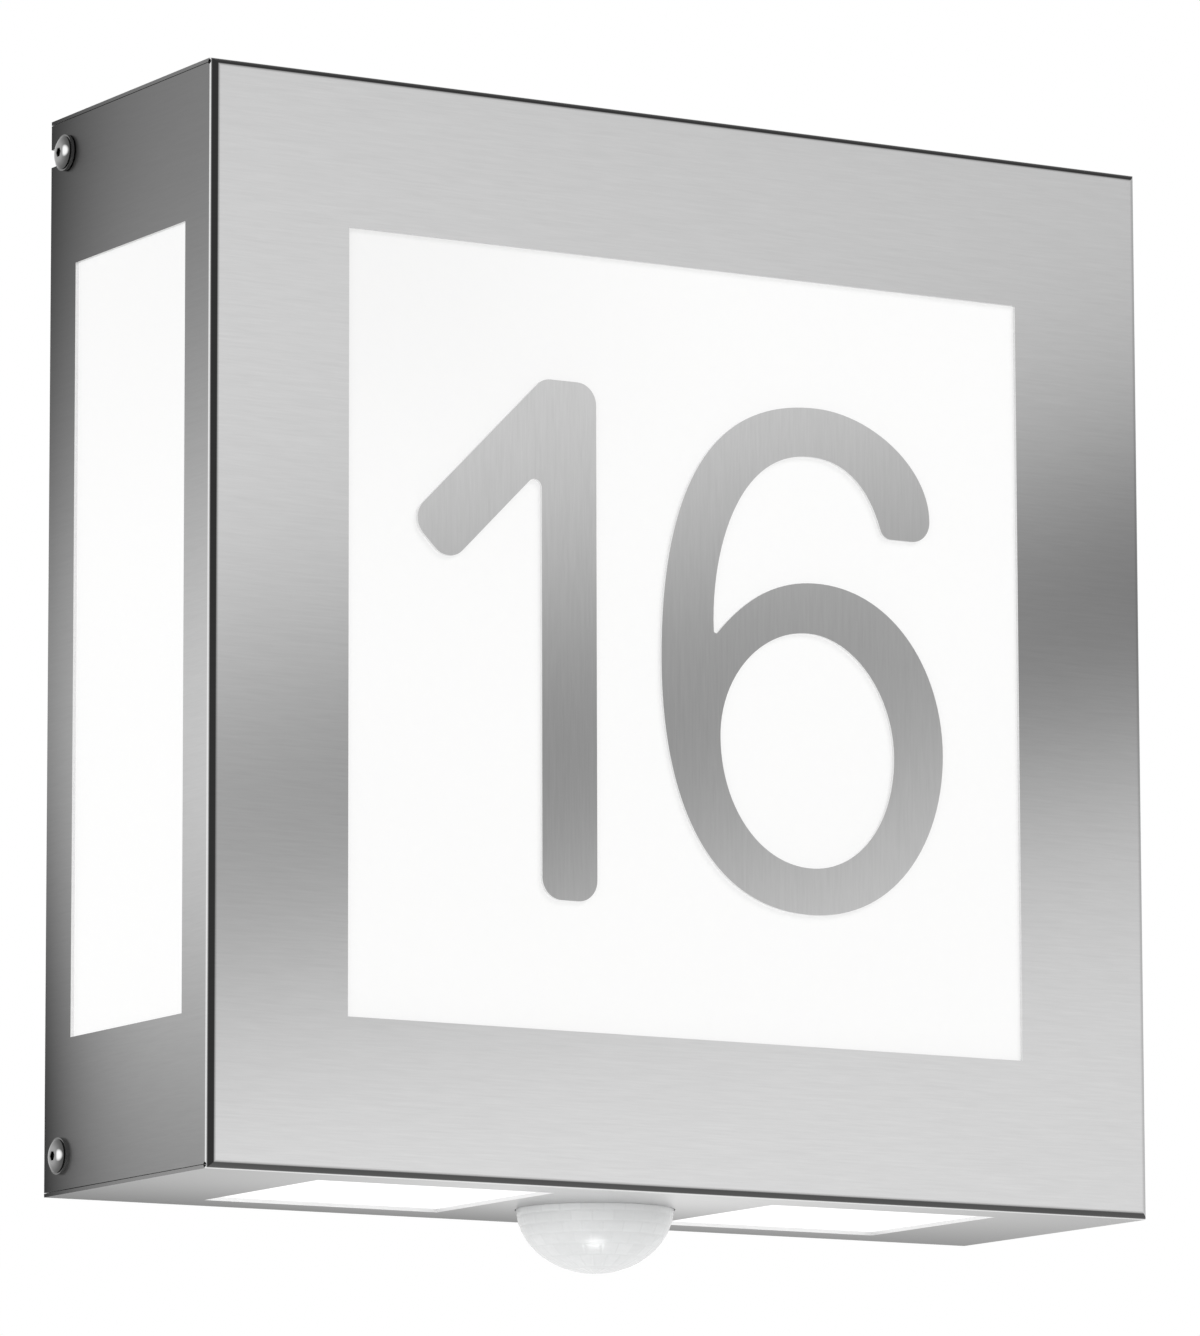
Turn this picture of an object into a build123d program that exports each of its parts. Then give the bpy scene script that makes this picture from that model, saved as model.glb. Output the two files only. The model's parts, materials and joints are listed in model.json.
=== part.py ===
from build123d import *
import os
from math import cos, radians, sin, sqrt

# Illuminated house number sign, in millimetres. The wall is the plane y = 0 and the sign faces -Y.
# The origin is the centre of the sign on the wall, +X is to the right seen from the front, +Z is up.

os.makedirs("parts", exist_ok=True)

# Cover, folded from one stainless sheet
cover_width = 300.0
cover_height = 300.0
cover_depth = 95.0           # wall to front face
sheet = 1.0
bend_radius = 2.2            # outside of the front bends
wall_gap = 0.5               # rear rim to the wall
seam_gap = 0.2               # end of a side flange to the flange above or below it
relief_radius = 0.7          # corner holes where two bends meet

# Windows cut in the cover
front_window_width = 216.0
front_window_height = 215.0
side_window_height = 215.0
window_depth = 64.0          # side and underside windows, front to rear
window_setback = 15.5        # wall to the rear edge of those windows
under_window_side = 41.5     # side of the cover to the outer end of an underside window

# Opal panes behind the windows
pane = 3.0
wide_lap = 8.0               # pane beyond the window where clips hold it
narrow_lap = 4.0             # pane beyond the window elsewhere
under_pane_gap = 6.0         # sensor flange to the inner end of an underside pane

# Numerals, cut from the same sheet and fixed on the front pane
numeral_top = 71.6
numeral_bottom = -71.9
stroke = 17.35
numeral_corner = 6.0
one_right = -30.3            # right side of the stem
one_crown = 17.0             # width of the level top of the stem
one_flag_run = 41.85         # sideways run of the slanted flag
one_notch_radius = 2.3
six_left = -9.6
six_left_level = -3.0        # height of the leftmost point
six_right = 82.3
six_right_level = -23.0
six_crown = 40.8             # middle of the top of the hook
six_base = 38.3              # middle of the lowest point
six_base_rise = 1.0          # foot of the one to the lowest point of the six
six_tip_right = 78.5         # right side of the end of the hook
six_tip_width = 15.6
six_tip_level = 36.6
six_tip_straight = 0.2
six_tip_radius = 3.5
six_bowl_crown = 41.3
six_bowl_top = 22.1
six_crotch_x = 7.4           # where the bowl leaves the stem
six_crotch_level = 4.4
six_crotch_radius = 0.7
six_inner_crown = 39.0
six_inner_top = 57.7
counter_left = 9.3
counter_right = 66.1
counter_left_level = -23.0
counter_right_level = -25.0
counter_top = 7.8
counter_bottom = -57.9
counter_crown = 38.0
counter_base = 38.6

# Curve handles of the six: shares of each quarter's width and height, lengths, and angles above level
six_tip_shares = (0.53, 0.50)
six_stem_top_shares = (0.79, 0.51)
six_stem_foot_shares = (0.55, 0.72)
six_base_shares = (0.63, 0.52)
six_bowl_shares = (0.54, 0.60)
counter_top_shares = (0.54, 0.54)
counter_base_shares = (0.57, 0.57)
six_bowl_handle = 13.0
six_crotch_bowl_handle = 15.7
six_crotch_bowl_angle = 50.0
six_crotch_hook_handle = 21.9
six_crotch_hook_angle = 94.0
six_inner_left_handle = 24.4
six_inner_right_handle = 12.4
six_tip_handle = 14.1
six_tip_angle = 105.0

# Cover screws on the sides
screw_setback = 9.75         # wall to the screw axis
screw_corner = 10.5          # top or bottom edge to the screw axis
screw_radius = 2.0
screw_hole_radius = 2.5      # holes and slots in the cover and ears
head_radius = 3.8
head_height = 2.2
hex_socket = 2.5
hex_socket_depth = 1.3
washer_radius = 5.1
washer = 0.9
slide_gap = 0.3              # loose faces that pass each other
thread_gap = 0.05
screw_fit = 0.2              # round screws and studs in clearance holes
large_nut_flat = 7.0
large_nut = 3.2
screw_tip = 0.5              # screw beyond its nut

# Back plate with folded ears and lips
plate = 1.5
gasket = 3.0
gasket_width = 10.0
plate_gap = 0.5              # ears and lips to the inside of the cover
gasket_inset = 2.0           # plate's edge to the gasket
plate_bend = 1.4             # outside of the plate's bends
ear_depth = 17.0
ear_height = 26.0
lip_depth = 6.0
lip_inset = 28.5             # plate's side to the end of a lip
wall_slot_inset_x = 38.5     # plate's side to the middle of a slot
wall_slot_inset_z = 20.5     # plate's top or bottom to the middle of a slot
wall_slot_radius = 2.75
wall_slot_length = 12.0
captive_nut_radius = 4.0
captive_nut = 3.5

# Cable entry and clamp
cable_radius = 4.5
grommet_seat_radius = 8.0
grommet_front_radius = 11.0
grommet_rear_radius = 10.0
grommet_front = 3.0
grommet_rear = 1.8
clamp_offset = 28.0          # cable entry to the clamp
clamp_width = 8.0
clamp_strap = 2.0
clamp_foot = 9.0
clamp_screw_radius = 1.5

# Lamp tray on hexagon spacers
tray_front = 37.0            # wall to the front of the tray
tray = 1.0
tray_side_gap = 19.0         # side of the cover, inside, to the tray
tray_top_gap = 31.0          # top of the cover, inside, to the tray
tray_foot_gap = 14.0         # top of the sensor's housing to the tray
tray_lip = 8.0
spacer_flat = 7.0            # across the flats
spacer_inset_x = 15.0        # tray's edge to the spacer axis
spacer_inset_z = 12.0
spacer_bore_depth = 10.0
tray_screw_reach = 7.0       # tray screw in its spacer

# Light boards
board = 1.6
board_side_margin = 12.0     # tray's side to the end of a board
board_margin = 30.0          # tray's top or bottom to the middle of the nearest board
board_height = 16.0
chip_count = 9
chip_margin = 23.0           # middle of a connector to the middle of the nearest chip
chip_size = 5.0
chip = 1.6
connector_margin = 7.0       # end of a board to the middle of its connector
connector_width = 10.0
connector_height = 8.0
connector = 6.0
jumper_radius = 0.8
jumper_pitch = 4.0
jumper_bow = 5.0
jumper_tail = 8.0            # straight end at each connector
jumper_tail_bend = 20.0
jumper_bow_bend = 60.0

# Driver
driver_connector_gap = 11.0  # driver's right end to the axis of the lowest right connector
driver_length = 110.0
driver_rise = 34.0           # tray's lower edge to the driver's
driver_height = 34.0
driver = 22.0
driver_edge = 2.0
driver_tab = 9.0
driver_tab_height = 10.0
driver_tab_rise = 6.0        # driver's lower edge to the middle of its tabs
driver_tab_sheet = 2.0
supply_drop = 14.0           # top of the driver to its upper lead
supply_pitch = 3.0
supply_hole_radius = 5.0

# Terminal block and earth point
terminal_x = -62.0
terminal_width = 18.0
terminal_height = 30.0
terminal = 16.0
terminal_pitch = 10.0
terminal_channel_radius = 2.0
terminal_channel = 6.5       # plate to the channel axis
terminal_screw_offset = 5.0
terminal_screw_inset = 1.0   # front of the block to a clamping screw
terminal_slot = 0.6
terminal_slot_depth = 0.8
terminal_edge = 1.0
terminal_well_gap = 0.1
lead_radius = 1.3
lead_grip = 5.0              # length of lead inside a terminal
lead_spread = 4.5            # between neighbouring leads
earth_level = 40.0
earth_stud_radius = 2.0
earth_stud = 11.0
earth_lead_bend = 4.0        # bend at the lug
lug_radius = 4.5
lug = 1.0
lug_barrel = 7.0
lug_barrel_wall = 1.0
lug_overlap = 1.0            # flat neck into the barrel
lug_grip = 4.2               # length of lead inside the barrel

# Small stud and nut used throughout the cover
stud_radius = 1.5
stud = 7.0
nut_flat = 5.5
nut = 2.4
clip_sheet = 0.8
clip_width = 10.0
clip_reach = 6.0             # finger over the pane
clip_foot = 11.5
clip_stud_offset = 7.0
clip_gap = 0.3
front_clip_offset = 70.0     # along the front pane's edges
side_clip_front = 65.0       # wall to the front clips of the side and underside panes
side_clip_rear = 30.0

# Motion sensor
dome_centre = 42.5           # wall to the sensor axis
dome_radius = 22.0
dome_drop = 18.6             # below the inside of the cover
dome_wall = 1.2
dome_gap = 0.3
dome_seal = 0.8
sensor_flange_lap = 3.0      # flange beyond the dome
housing_inset = 1.0          # dome's outside to the housing's
housing_step = 2.0           # wide to narrow part of the housing
housing_wall = 1.5
housing_height = 29.0
housing_shoulder = 6.6       # flange to the sensor board
housing_neck = 8.1           # flange to the narrower upper part
sensor_plate = 1.5
sensor_plate_lap = 5.0       # plate over the inner ends of the underside panes
sensor_plate_depth_margin = 3.5    # sensor flange to the plate's front and rear edges
sensor_stud_margin = 2.5     # sensor flange's side to the stud axes
sensor_stud_y = 18.0
sensor_stud = 10.0
detector_radius = 4.6
detector = 4.2
detector_rim = 0.4
detector_rim_height = 0.5
light_sensor_radius = 2.5
light_sensor = 3.0
light_sensor_offset = 11.0
link_width = 10.0
link_depth = 2.5
dial_pitch = 10.0
dial_radius = 4.0
dial_height = 3.0
dial_shaft_radius = 2.4
dial_shaft = 5.0
dial_fit = 0.08
dial_slot = 1.0
dial_slot_depth = 1.2
dial_chamfer = 0.5
trimmer = 5.0
trimmer_width = 9.0
dial_board_gap = 0.5         # dial board to the housing's wall
quarter_turn = 90.0

# Sensor plug, socket and leads
plug_rise = 7.0              # tray's lower edge to the plug's axis
socket_width = 16.0
socket_height = 9.0
socket = 8.0
socket_wall = 1.2
socket_boss_radius = 3.0
socket_boss_reach = 2.0      # boss behind the tray
plug_gap = 0.3
plug_in = 6.0
plug_out = 4.0
pin_radius = 0.5
pin_count = 3
pin_pitch = 3.5
pin = 5.0
pin_gap = 0.1
sensor_lead_radius = 2.0
sensor_lead_offset = 14.5    # sensor axis to the lead, towards the front
lead_bend = 6.0
wire_bend = 3.0

# Places worked out from the sizes above
half_width = cover_width / 2
half_height = cover_height / 2
inner_x = half_width - sheet
inner_z = half_height - sheet
sheet_back = -cover_depth + sheet
pane_back = sheet_back + pane
window_rear = -window_setback
window_front = window_rear - window_depth
plate_back = -gasket
plate_front = plate_back - plate
plate_half_z = inner_z - plate_gap
ear_outer = inner_x - plate_gap
ear_inner = ear_outer - plate
ear_front = plate_front - ear_depth + plate
screw_y = -screw_setback
screw_height = half_height - screw_corner
lead_y = plate_front - terminal_channel
sensor_floor = -inner_z
sensor_flange_top = sensor_floor + pane
sensor_flange_radius = dome_radius + sensor_flange_lap
sensor_y = -dome_centre
under_pane_start = sensor_flange_radius + under_pane_gap
under_window_near = under_pane_start + narrow_lap
under_window_far = half_width - under_window_side
housing_flange_low = sensor_floor + dome_seal + dome_wall
housing_top = housing_flange_low + housing_height
housing_radius = dome_radius - housing_inset
housing_upper_radius = housing_radius - housing_step
tray_half_width = inner_x - tray_side_gap
tray_top = inner_z - tray_top_gap
tray_bottom = housing_top + tray_foot_gap
spacer_front = -tray_front + tray
board_front = -tray_front - board
board_half_length = tray_half_width - board_side_margin
low_board = tray_bottom + board_margin
high_board = tray_top - board_margin
middle_board = (low_board + high_board) / 2
connector_offset = board_half_length - connector_margin
driver_front = plate_front - driver
driver_right = connector_offset - driver_connector_gap
driver_left = driver_right - driver_length
driver_y = plate_front - driver / 2
driver_low = tray_bottom + driver_rise
driver_top = driver_low + driver_height
driver_tab_level = driver_low + driver_tab_rise
supply_level = driver_top - supply_drop
plug_x = 0.0
plug_level = tray_bottom + plug_rise


def block(low, high):
    """Box between its lowest and highest corners."""
    size = [top - bottom for bottom, top in zip(low, high)]
    return Pos(*low) * Box(*size, align=(Align.MIN, Align.MIN, Align.MIN))


def rod(start, direction, radius, length):
    """Cylinder of a length from a start point."""
    base = Plane(origin=start, z_dir=direction)
    return base * Cylinder(radius, length, align=(Align.CENTER, Align.CENTER, Align.MIN))


def tube(start, direction, outer, bore, length):
    """Ring or sleeve from a start point."""
    return rod(start, direction, outer, length) - rod(start, direction, bore, length)


def hex_bar(start, direction, flat, length):
    """Hexagon bar of a width across its flats."""
    outline = RegularPolygon(flat / 2, 6, major_radius=False)
    return extrude(Plane(origin=start, z_dir=direction) * outline, length)


def hex_nut(start, direction, flat, bore, length):
    """Hexagon nut with a plain bore."""
    return hex_bar(start, direction, flat, length) - rod(start, direction, bore, length)


def button_head(radius, height):
    """Domed screw head standing on the XY plane."""
    rim = height * 0.2
    crown = radius * 0.5
    arc_x = (radius + crown) / 2 + (radius - crown) * 0.16
    arc_z = (rim + height) / 2 + (height - rim) * 0.2
    outline = [
        Line((0, 0), (radius, 0)),
        Line((radius, 0), (radius, rim)),
        ThreePointArc((radius, rim), (arc_x, arc_z), (crown, height)),
        Line((crown, height), (0, height)),
        Line((0, height), (0, 0)),
    ]
    return revolve(Plane.XZ * make_face(outline), Axis.Z)


def side_screw(seat, direction, length):
    """Button head screw with a hexagon socket; its head stands on the seat."""
    head = button_head(head_radius, head_height)
    head -= hex_bar((0, 0, head_height), (0, 0, -1), hex_socket, hex_socket_depth)
    body = head + rod((0, 0, 0), (0, 0, -1), screw_radius, length)
    return Plane(origin=seat, z_dir=direction) * body


def pan_screw(seat, direction, radius, length):
    """Pan head screw with a cross recess, drawn about twice as wide as its shank."""
    head = radius * 2
    height = radius * 1.1
    recess = radius * 2.2
    slot = radius * 0.4
    depth = height * 0.6
    body = button_head(head, height)
    body -= block((-recess / 2, -slot / 2, height - depth), (recess / 2, slot / 2, height))
    body -= block((-slot / 2, -recess / 2, height - depth), (slot / 2, recess / 2, height))
    body += rod((0, 0, 0), (0, 0, -1), radius, length)
    return Plane(origin=seat, z_dir=direction) * body


def wire(points, bends, radius):
    """Round lead along straight runs joined by arcs."""
    path = FilletPolyline(*points, radius=bends)
    section = Plane(origin=path @ 0, z_dir=path % 0) * Circle(radius)
    return sweep(section, path=path)


def both_sides(shape):
    """A piece and its mirror image across the middle of the sign."""
    return [shape, mirror(shape, about=Plane.YZ)]


def save(name, *pieces):
    """Write the solids of one piece, or of a group of like pieces."""
    solids = [solid for piece in pieces for solid in piece.solids()]
    shape = solids[0] if len(solids) == 1 else Compound(children=solids)
    export_step(shape, f"parts/{name}.step")


# --- Cover -----------------------------------------------------------------------------------------

def cover_shell():
    """Folded sheet with its windows, seams, corner reliefs, screw slots, screw holes and sensor hole."""
    outer = block((-half_width, -cover_depth, -half_height), (half_width, -wall_gap, half_height))
    outer = fillet(outer.faces().sort_by(Axis.Y)[0].edges(), bend_radius)
    inner = block((-inner_x, sheet_back, -inner_z), (inner_x, 0, inner_z))
    inner = fillet(inner.faces().sort_by(Axis.Y)[0].edges(), bend_radius - sheet)
    shell = outer - inner
    shell -= block(
        (-front_window_width / 2, -cover_depth, -front_window_height / 2),
        (front_window_width / 2, sheet_back, front_window_height / 2),
    )
    shell -= block(
        (-half_width, window_front, -side_window_height / 2),
        (half_width, window_rear, side_window_height / 2),
    )
    shell -= rod((0, sensor_y, -half_height), (0, 0, 1), dome_radius + dome_gap, sheet)
    slot_low = screw_height - screw_hole_radius
    slot_high = screw_height + screw_hole_radius
    cuts = [
        block((under_window_near, window_front, -half_height), (under_window_far, window_rear, -inner_z)),
        block((inner_x, screw_y, slot_low), (half_width, 0, slot_high)),
        rod((inner_x, screw_y, screw_height), (1, 0, 0), screw_hole_radius, sheet),
        rod((inner_x, screw_y, -screw_height), (1, 0, 0), screw_hole_radius, sheet),
    ]
    bend_line = -cover_depth + bend_radius
    for level in (-1, 1):
        low, high = sorted((level * inner_z, level * (inner_z - seam_gap)))
        cuts.append(block((inner_x, bend_line, low), (half_width, 0, high)))
        relief_start = (inner_x - sheet, bend_line, level * inner_z)
        cuts.append(rod(relief_start, (1, 0, 0), relief_radius, 3 * sheet))
    for cut in cuts:
        for side_cut in both_sides(cut):
            shell -= side_cut
    return shell


def front_pane():
    """Opal pane behind the front window."""
    half_x = front_window_width / 2 + wide_lap
    half_z = front_window_height / 2 + wide_lap
    return block((-half_x, sheet_back, -half_z), (half_x, pane_back, half_z))


def side_pane():
    """Opal pane behind the right side window."""
    half_z = side_window_height / 2 + wide_lap
    return block(
        (inner_x - pane, window_front - narrow_lap, -half_z),
        (inner_x, window_rear + narrow_lap, half_z),
    )


def under_pane():
    """Opal pane over the right underside window."""
    return block(
        (under_pane_start, window_front - narrow_lap, sensor_floor),
        (under_window_far + narrow_lap, window_rear + narrow_lap, sensor_flange_top),
    )


def clip_places():
    """Planes of the pane clips: Z away from the sheet, X away from the pane, origin at the pane's edge."""
    places = []
    edge_x = front_window_width / 2 + wide_lap
    edge_z = front_window_height / 2 + wide_lap
    for side in (-1, 1):
        for along in (-front_clip_offset, front_clip_offset):
            origin = (side * edge_x, sheet_back, along)
            places.append(Plane(origin=origin, x_dir=(side, 0, 0), z_dir=(0, 1, 0)))
            origin = (along, sheet_back, side * edge_z)
            places.append(Plane(origin=origin, x_dir=(0, 0, side), z_dir=(0, 1, 0)))
    side_edge = side_window_height / 2 + wide_lap
    under_edge = under_window_far + narrow_lap
    for y in (-side_clip_front, -side_clip_rear):
        for side in (-1, 1):
            for end in (-1, 1):
                origin = (side * inner_x, y, end * side_edge)
                places.append(Plane(origin=origin, x_dir=(0, 0, end), z_dir=(-side, 0, 0)))
            origin = (side * under_edge, y, sensor_floor)
            places.append(Plane(origin=origin, x_dir=(side, 0, 0), z_dir=(0, 0, 1)))
    return places


def pane_clip():
    """Stepped clip: its foot lies on the sheet and its finger on the pane."""
    step = clip_gap + clip_sheet
    outline = Polyline(
        (clip_gap, 0),
        (clip_foot, 0),
        (clip_foot, clip_sheet),
        (step, clip_sheet),
        (step, pane + clip_sheet),
        (-clip_reach, pane + clip_sheet),
        (-clip_reach, pane),
        (clip_gap, pane),
        close=True,
    )
    strip = extrude(Plane.XZ * make_face(outline), clip_width / 2, both=True)
    return strip - rod((clip_stud_offset, 0, 0), (0, 0, 1), stud_radius + clip_gap, clip_sheet)


def sensor_studs():
    """Places of the four studs of the sensor plate."""
    stud_x = sensor_flange_radius + sensor_stud_margin
    return [(x, sensor_y + y) for x in (-stud_x, stud_x) for y in (-sensor_stud_y, sensor_stud_y)]


def cover_studs():
    """Weld studs for the pane clips and the sensor plate."""
    clip_stud = rod((clip_stud_offset, 0, 0), (0, 0, 1), stud_radius, stud)
    pieces = [place * clip_stud for place in clip_places()]
    pieces += [rod((x, y, sensor_floor), (0, 0, 1), stud_radius, sensor_stud) for x, y in sensor_studs()]
    return pieces


def cover_nuts():
    """Nuts on the studs."""
    bore = stud_radius + thread_gap
    clip_nut = hex_nut((clip_stud_offset, 0, clip_sheet), (0, 0, 1), nut_flat, bore, nut)
    pieces = [place * clip_nut for place in clip_places()]
    for x, y in sensor_studs():
        pieces.append(hex_nut((x, y, sensor_flange_top + sensor_plate), (0, 0, 1), nut_flat, bore, nut))
    return pieces


# --- Numerals --------------------------------------------------------------------------------------

def numeral(outline):
    """Sheet numeral lying on the front pane."""
    return extrude(Plane.XZ.offset(-sheet_back) * outline, sheet)


def numeral_one():
    """Straight stem with a slanted flag."""
    stem_left = one_right - stroke
    crown_left = one_right - one_crown
    tip = (crown_left - one_flag_run, numeral_top - one_flag_run)
    slant = stroke / sqrt(2)
    heel = (tip[0] + slant, tip[1] - slant)
    notch = (stem_left, heel[1] + stem_left - heel[0])
    corners = [
        (one_right, numeral_bottom),
        (one_right, numeral_top),
        (crown_left, numeral_top),
        tip,
        heel,
        notch,
        (stem_left, numeral_bottom),
    ]
    face = make_face(Polyline(*corners, close=True))
    inner = face.vertices().sort_by_distance((*notch, 0))[0]
    outer = [vertex for vertex in face.vertices() if vertex != inner]
    face = fillet(outer, numeral_corner)
    inner = face.vertices().sort_by_distance((*notch, 0))[0]
    return numeral(fillet(inner, one_notch_radius))


def quarter(start, end, level_first, shares):
    """Quarter of an oval; its handles lie level and upright, as shares of its width and height."""
    lead, trail = shares
    across = end[0] - start[0]
    up = end[1] - start[1]
    if level_first:
        return Bezier(start, (start[0] + lead * across, start[1]), (end[0], end[1] - trail * up), end)
    return Bezier(start, (start[0], start[1] + lead * up), (end[0] - trail * across, end[1]), end)


def slanted(point, angle, length):
    """Point at a length from another, at an angle above level."""
    return (point[0] + length * cos(radians(angle)), point[1] + length * sin(radians(angle)))


def six_hook():
    """Edges of the hook's inside, from the crown of the bowl to the left corner of its end."""
    bowl = (six_bowl_crown, six_bowl_top)
    crotch = (six_crotch_x, six_crotch_level)
    inner_crown = (six_inner_crown, six_inner_top)
    tip_left = (six_tip_right - six_tip_width, six_tip_level)
    bowl_handle = (six_bowl_crown - six_bowl_handle, six_bowl_top)
    crotch_under = slanted(crotch, six_crotch_bowl_angle, six_crotch_bowl_handle)
    crotch_over = slanted(crotch, six_crotch_hook_angle, six_crotch_hook_handle)
    crown_left = (six_inner_crown - six_inner_left_handle, six_inner_top)
    crown_right = (six_inner_crown + six_inner_right_handle, six_inner_top)
    tip_handle = slanted(tip_left, six_tip_angle, six_tip_handle)
    return [
        Bezier(bowl, bowl_handle, crotch_under, crotch),
        Bezier(crotch, crotch_over, crown_left, inner_crown),
        Bezier(inner_crown, crown_right, tip_handle, tip_left),
    ]


def six_counter():
    """Oval hole of the bowl."""
    left = (counter_left, counter_left_level)
    crown = (counter_crown, counter_top)
    right = (counter_right, counter_right_level)
    base = (counter_base, counter_bottom)
    edges = [
        quarter(left, crown, False, counter_top_shares),
        quarter(crown, right, True, counter_top_shares),
        quarter(right, base, False, counter_base_shares),
        quarter(base, left, True, counter_base_shares),
    ]
    return make_face(edges)


def numeral_six():
    """Open hook over an oval bowl."""
    tip_left = (six_tip_right - six_tip_width, six_tip_level)
    tip_right = (six_tip_right, six_tip_level)
    tip_top = (six_tip_right, six_tip_level + numeral_corner + six_tip_straight)
    crown = (six_crown, numeral_top)
    left = (six_left, six_left_level)
    base = (six_base, numeral_bottom + six_base_rise)
    right = (six_right, six_right_level)
    bowl = (six_bowl_crown, six_bowl_top)
    outline = [
        Line(tip_left, tip_right),
        Line(tip_right, tip_top),
        quarter(tip_top, crown, False, six_tip_shares),
        quarter(crown, left, True, six_stem_top_shares),
        quarter(left, base, False, six_stem_foot_shares),
        quarter(base, right, True, six_base_shares),
        quarter(right, bowl, False, six_bowl_shares),
    ]
    face = make_face(outline + six_hook())
    corners = [
        (tip_right, numeral_corner),
        (tip_left, six_tip_radius),
        ((six_crotch_x, six_crotch_level), six_crotch_radius),
    ]
    for point, radius in corners:
        face = fillet(face.vertices().sort_by_distance((*point, 0))[0], radius)
    return numeral(face - six_counter())


# --- Screws on the sides ---------------------------------------------------------------------------

def upper_screw():
    """Upper right screw, which stays on the back plate."""
    seat = half_width + slide_gap + washer
    length = seat - ear_inner + captive_nut
    return side_screw((seat, screw_y, screw_height), (1, 0, 0), length)


def upper_washer():
    """Washer under the upper right screw."""
    start = (half_width + slide_gap, screw_y, screw_height)
    return tube(start, (1, 0, 0), washer_radius, screw_radius + thread_gap, washer)


def lower_screw():
    """Lower right screw, which stays in the cover."""
    seat = half_width + washer
    length = seat - ear_inner + slide_gap + large_nut + screw_tip
    return side_screw((seat, screw_y, -screw_height), (1, 0, 0), length)


def lower_washer():
    """Washer under the lower right screw."""
    start = (half_width, screw_y, -screw_height)
    return tube(start, (1, 0, 0), washer_radius, screw_radius + thread_gap, washer)


def lower_nut():
    """Nut behind the lower right ear."""
    start = (ear_inner - slide_gap, screw_y, -screw_height)
    return hex_nut(start, (-1, 0, 0), large_nut_flat, screw_radius + thread_gap, large_nut)


def captive_nut_ring():
    """Nut pressed on the upper right ear."""
    start = (ear_inner, screw_y, screw_height)
    return tube(start, (-1, 0, 0), captive_nut_radius, screw_radius + thread_gap, captive_nut)


# --- Back plate ------------------------------------------------------------------------------------

def back_plate():
    """Plate with four ears, two lips, wall slots, cable hole and driver screw holes."""
    body = block((-ear_outer, plate_front, -plate_half_z), (ear_outer, plate_back, plate_half_z))
    lip_end = ear_outer - lip_inset
    for side in (-1, 1):
        for level in (-1, 1):
            xs = sorted((side * ear_inner, side * ear_outer))
            zs = sorted((level * (plate_half_z - ear_height), level * plate_half_z))
            body += block((xs[0], ear_front, zs[0]), (xs[1], plate_back, zs[1]))
        zs = sorted((side * (plate_half_z - plate), side * plate_half_z))
        body += block((-lip_end, plate_back - lip_depth, zs[0]), (lip_end, plate_back, zs[1]))
    body = fillet(body.faces().sort_by(Axis.Y)[-1].edges(), plate_bend)
    slot = SlotOverall(wall_slot_length, 2 * wall_slot_radius)
    for side in (-1, 1):
        hole_start = (side * ear_inner, screw_y, screw_height)
        body -= rod(hole_start, (side, 0, 0), screw_radius + screw_fit, plate)
        low_start = (side * ear_inner, screw_y, -screw_height)
        body -= rod(low_start, (side, 0, 0), screw_hole_radius, plate)
        xs = sorted((side * ear_inner, side * ear_outer))
        body -= block(
            (xs[0], ear_front, -screw_height - screw_hole_radius),
            (xs[1], screw_y, -screw_height + screw_hole_radius),
        )
        for level in (-1, 1):
            slot_x = side * (ear_outer - wall_slot_inset_x)
            slot_z = level * (plate_half_z - wall_slot_inset_z)
            place = Plane.XZ.offset(-plate_back) * Pos(slot_x, slot_z)
            body -= extrude(place * slot, plate)
    body -= rod((0, plate_back, 0), (0, -1, 0), grommet_seat_radius, plate)
    for x, z in driver_screw_places() + clamp_screw_places() + terminal_screw_places():
        body -= rod((x, plate_back, z), (0, -1, 0), clamp_screw_radius + thread_gap, plate)
    return body


def wall_gasket():
    """Soft frame between the plate and the wall."""
    outer_x = ear_outer - gasket_inset
    outer_z = plate_half_z - gasket_inset
    inner_x_side = outer_x - gasket_width
    inner_z_side = outer_z - gasket_width
    frame = block((-outer_x, plate_back, -outer_z), (outer_x, 0, outer_z))
    return frame - block((-inner_x_side, plate_back, -inner_z_side), (inner_x_side, 0, inner_z_side))


def cable_grommet():
    """Rubber ring in the cable hole."""
    body = rod((0, plate_back, 0), (0, 1, 0), grommet_rear_radius, grommet_rear)
    body += rod((0, plate_front, 0), (0, 1, 0), grommet_seat_radius, plate)
    body += rod((0, plate_front, 0), (0, -1, 0), grommet_front_radius, grommet_front)
    length = grommet_front + plate + grommet_rear
    return body - rod((0, plate_front - grommet_front, 0), (0, 1, 0), cable_radius, length)


def plate_screws(places, thickness):
    """Screws that hold something of a thickness to the back plate."""
    seat = plate_front - thickness
    return [
        pan_screw((x, seat, z), (0, -1, 0), clamp_screw_radius, thickness + plate)
        for x, z in places
    ]


def clamp_screw_places():
    """Two screws of the cable clamp."""
    spread = cable_radius + clamp_strap + clamp_foot / 2
    return [(-clamp_offset, -spread), (-clamp_offset, spread)]


def cable_clamp():
    """Strap over the cable's way, with two flat feet."""
    outer = cable_radius + clamp_strap
    arch = Circle(outer) + Pos(0, -outer / 2) * Rectangle(2 * outer, outer)
    hollow = Circle(cable_radius) + Pos(0, -outer / 2) * Rectangle(2 * cable_radius, outer)
    foot = Pos(0, clamp_strap / 2 - outer) * Rectangle(2 * (outer + clamp_foot), clamp_strap)
    profile = arch + foot - hollow
    place = Plane(origin=(-clamp_offset, plate_front - outer, 0), x_dir=(0, 0, 1), z_dir=(1, 0, 0))
    strap = extrude(place * profile, clamp_width / 2, both=True)
    for x, z in clamp_screw_places():
        strap -= rod((x, plate_front, z), (0, -1, 0), clamp_screw_radius + thread_gap, clamp_strap)
    return strap


def clamp_screws():
    """Screws of the cable clamp."""
    return plate_screws(clamp_screw_places(), clamp_strap)


# --- Terminal block, earth point and mains leads ---------------------------------------------------

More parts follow.
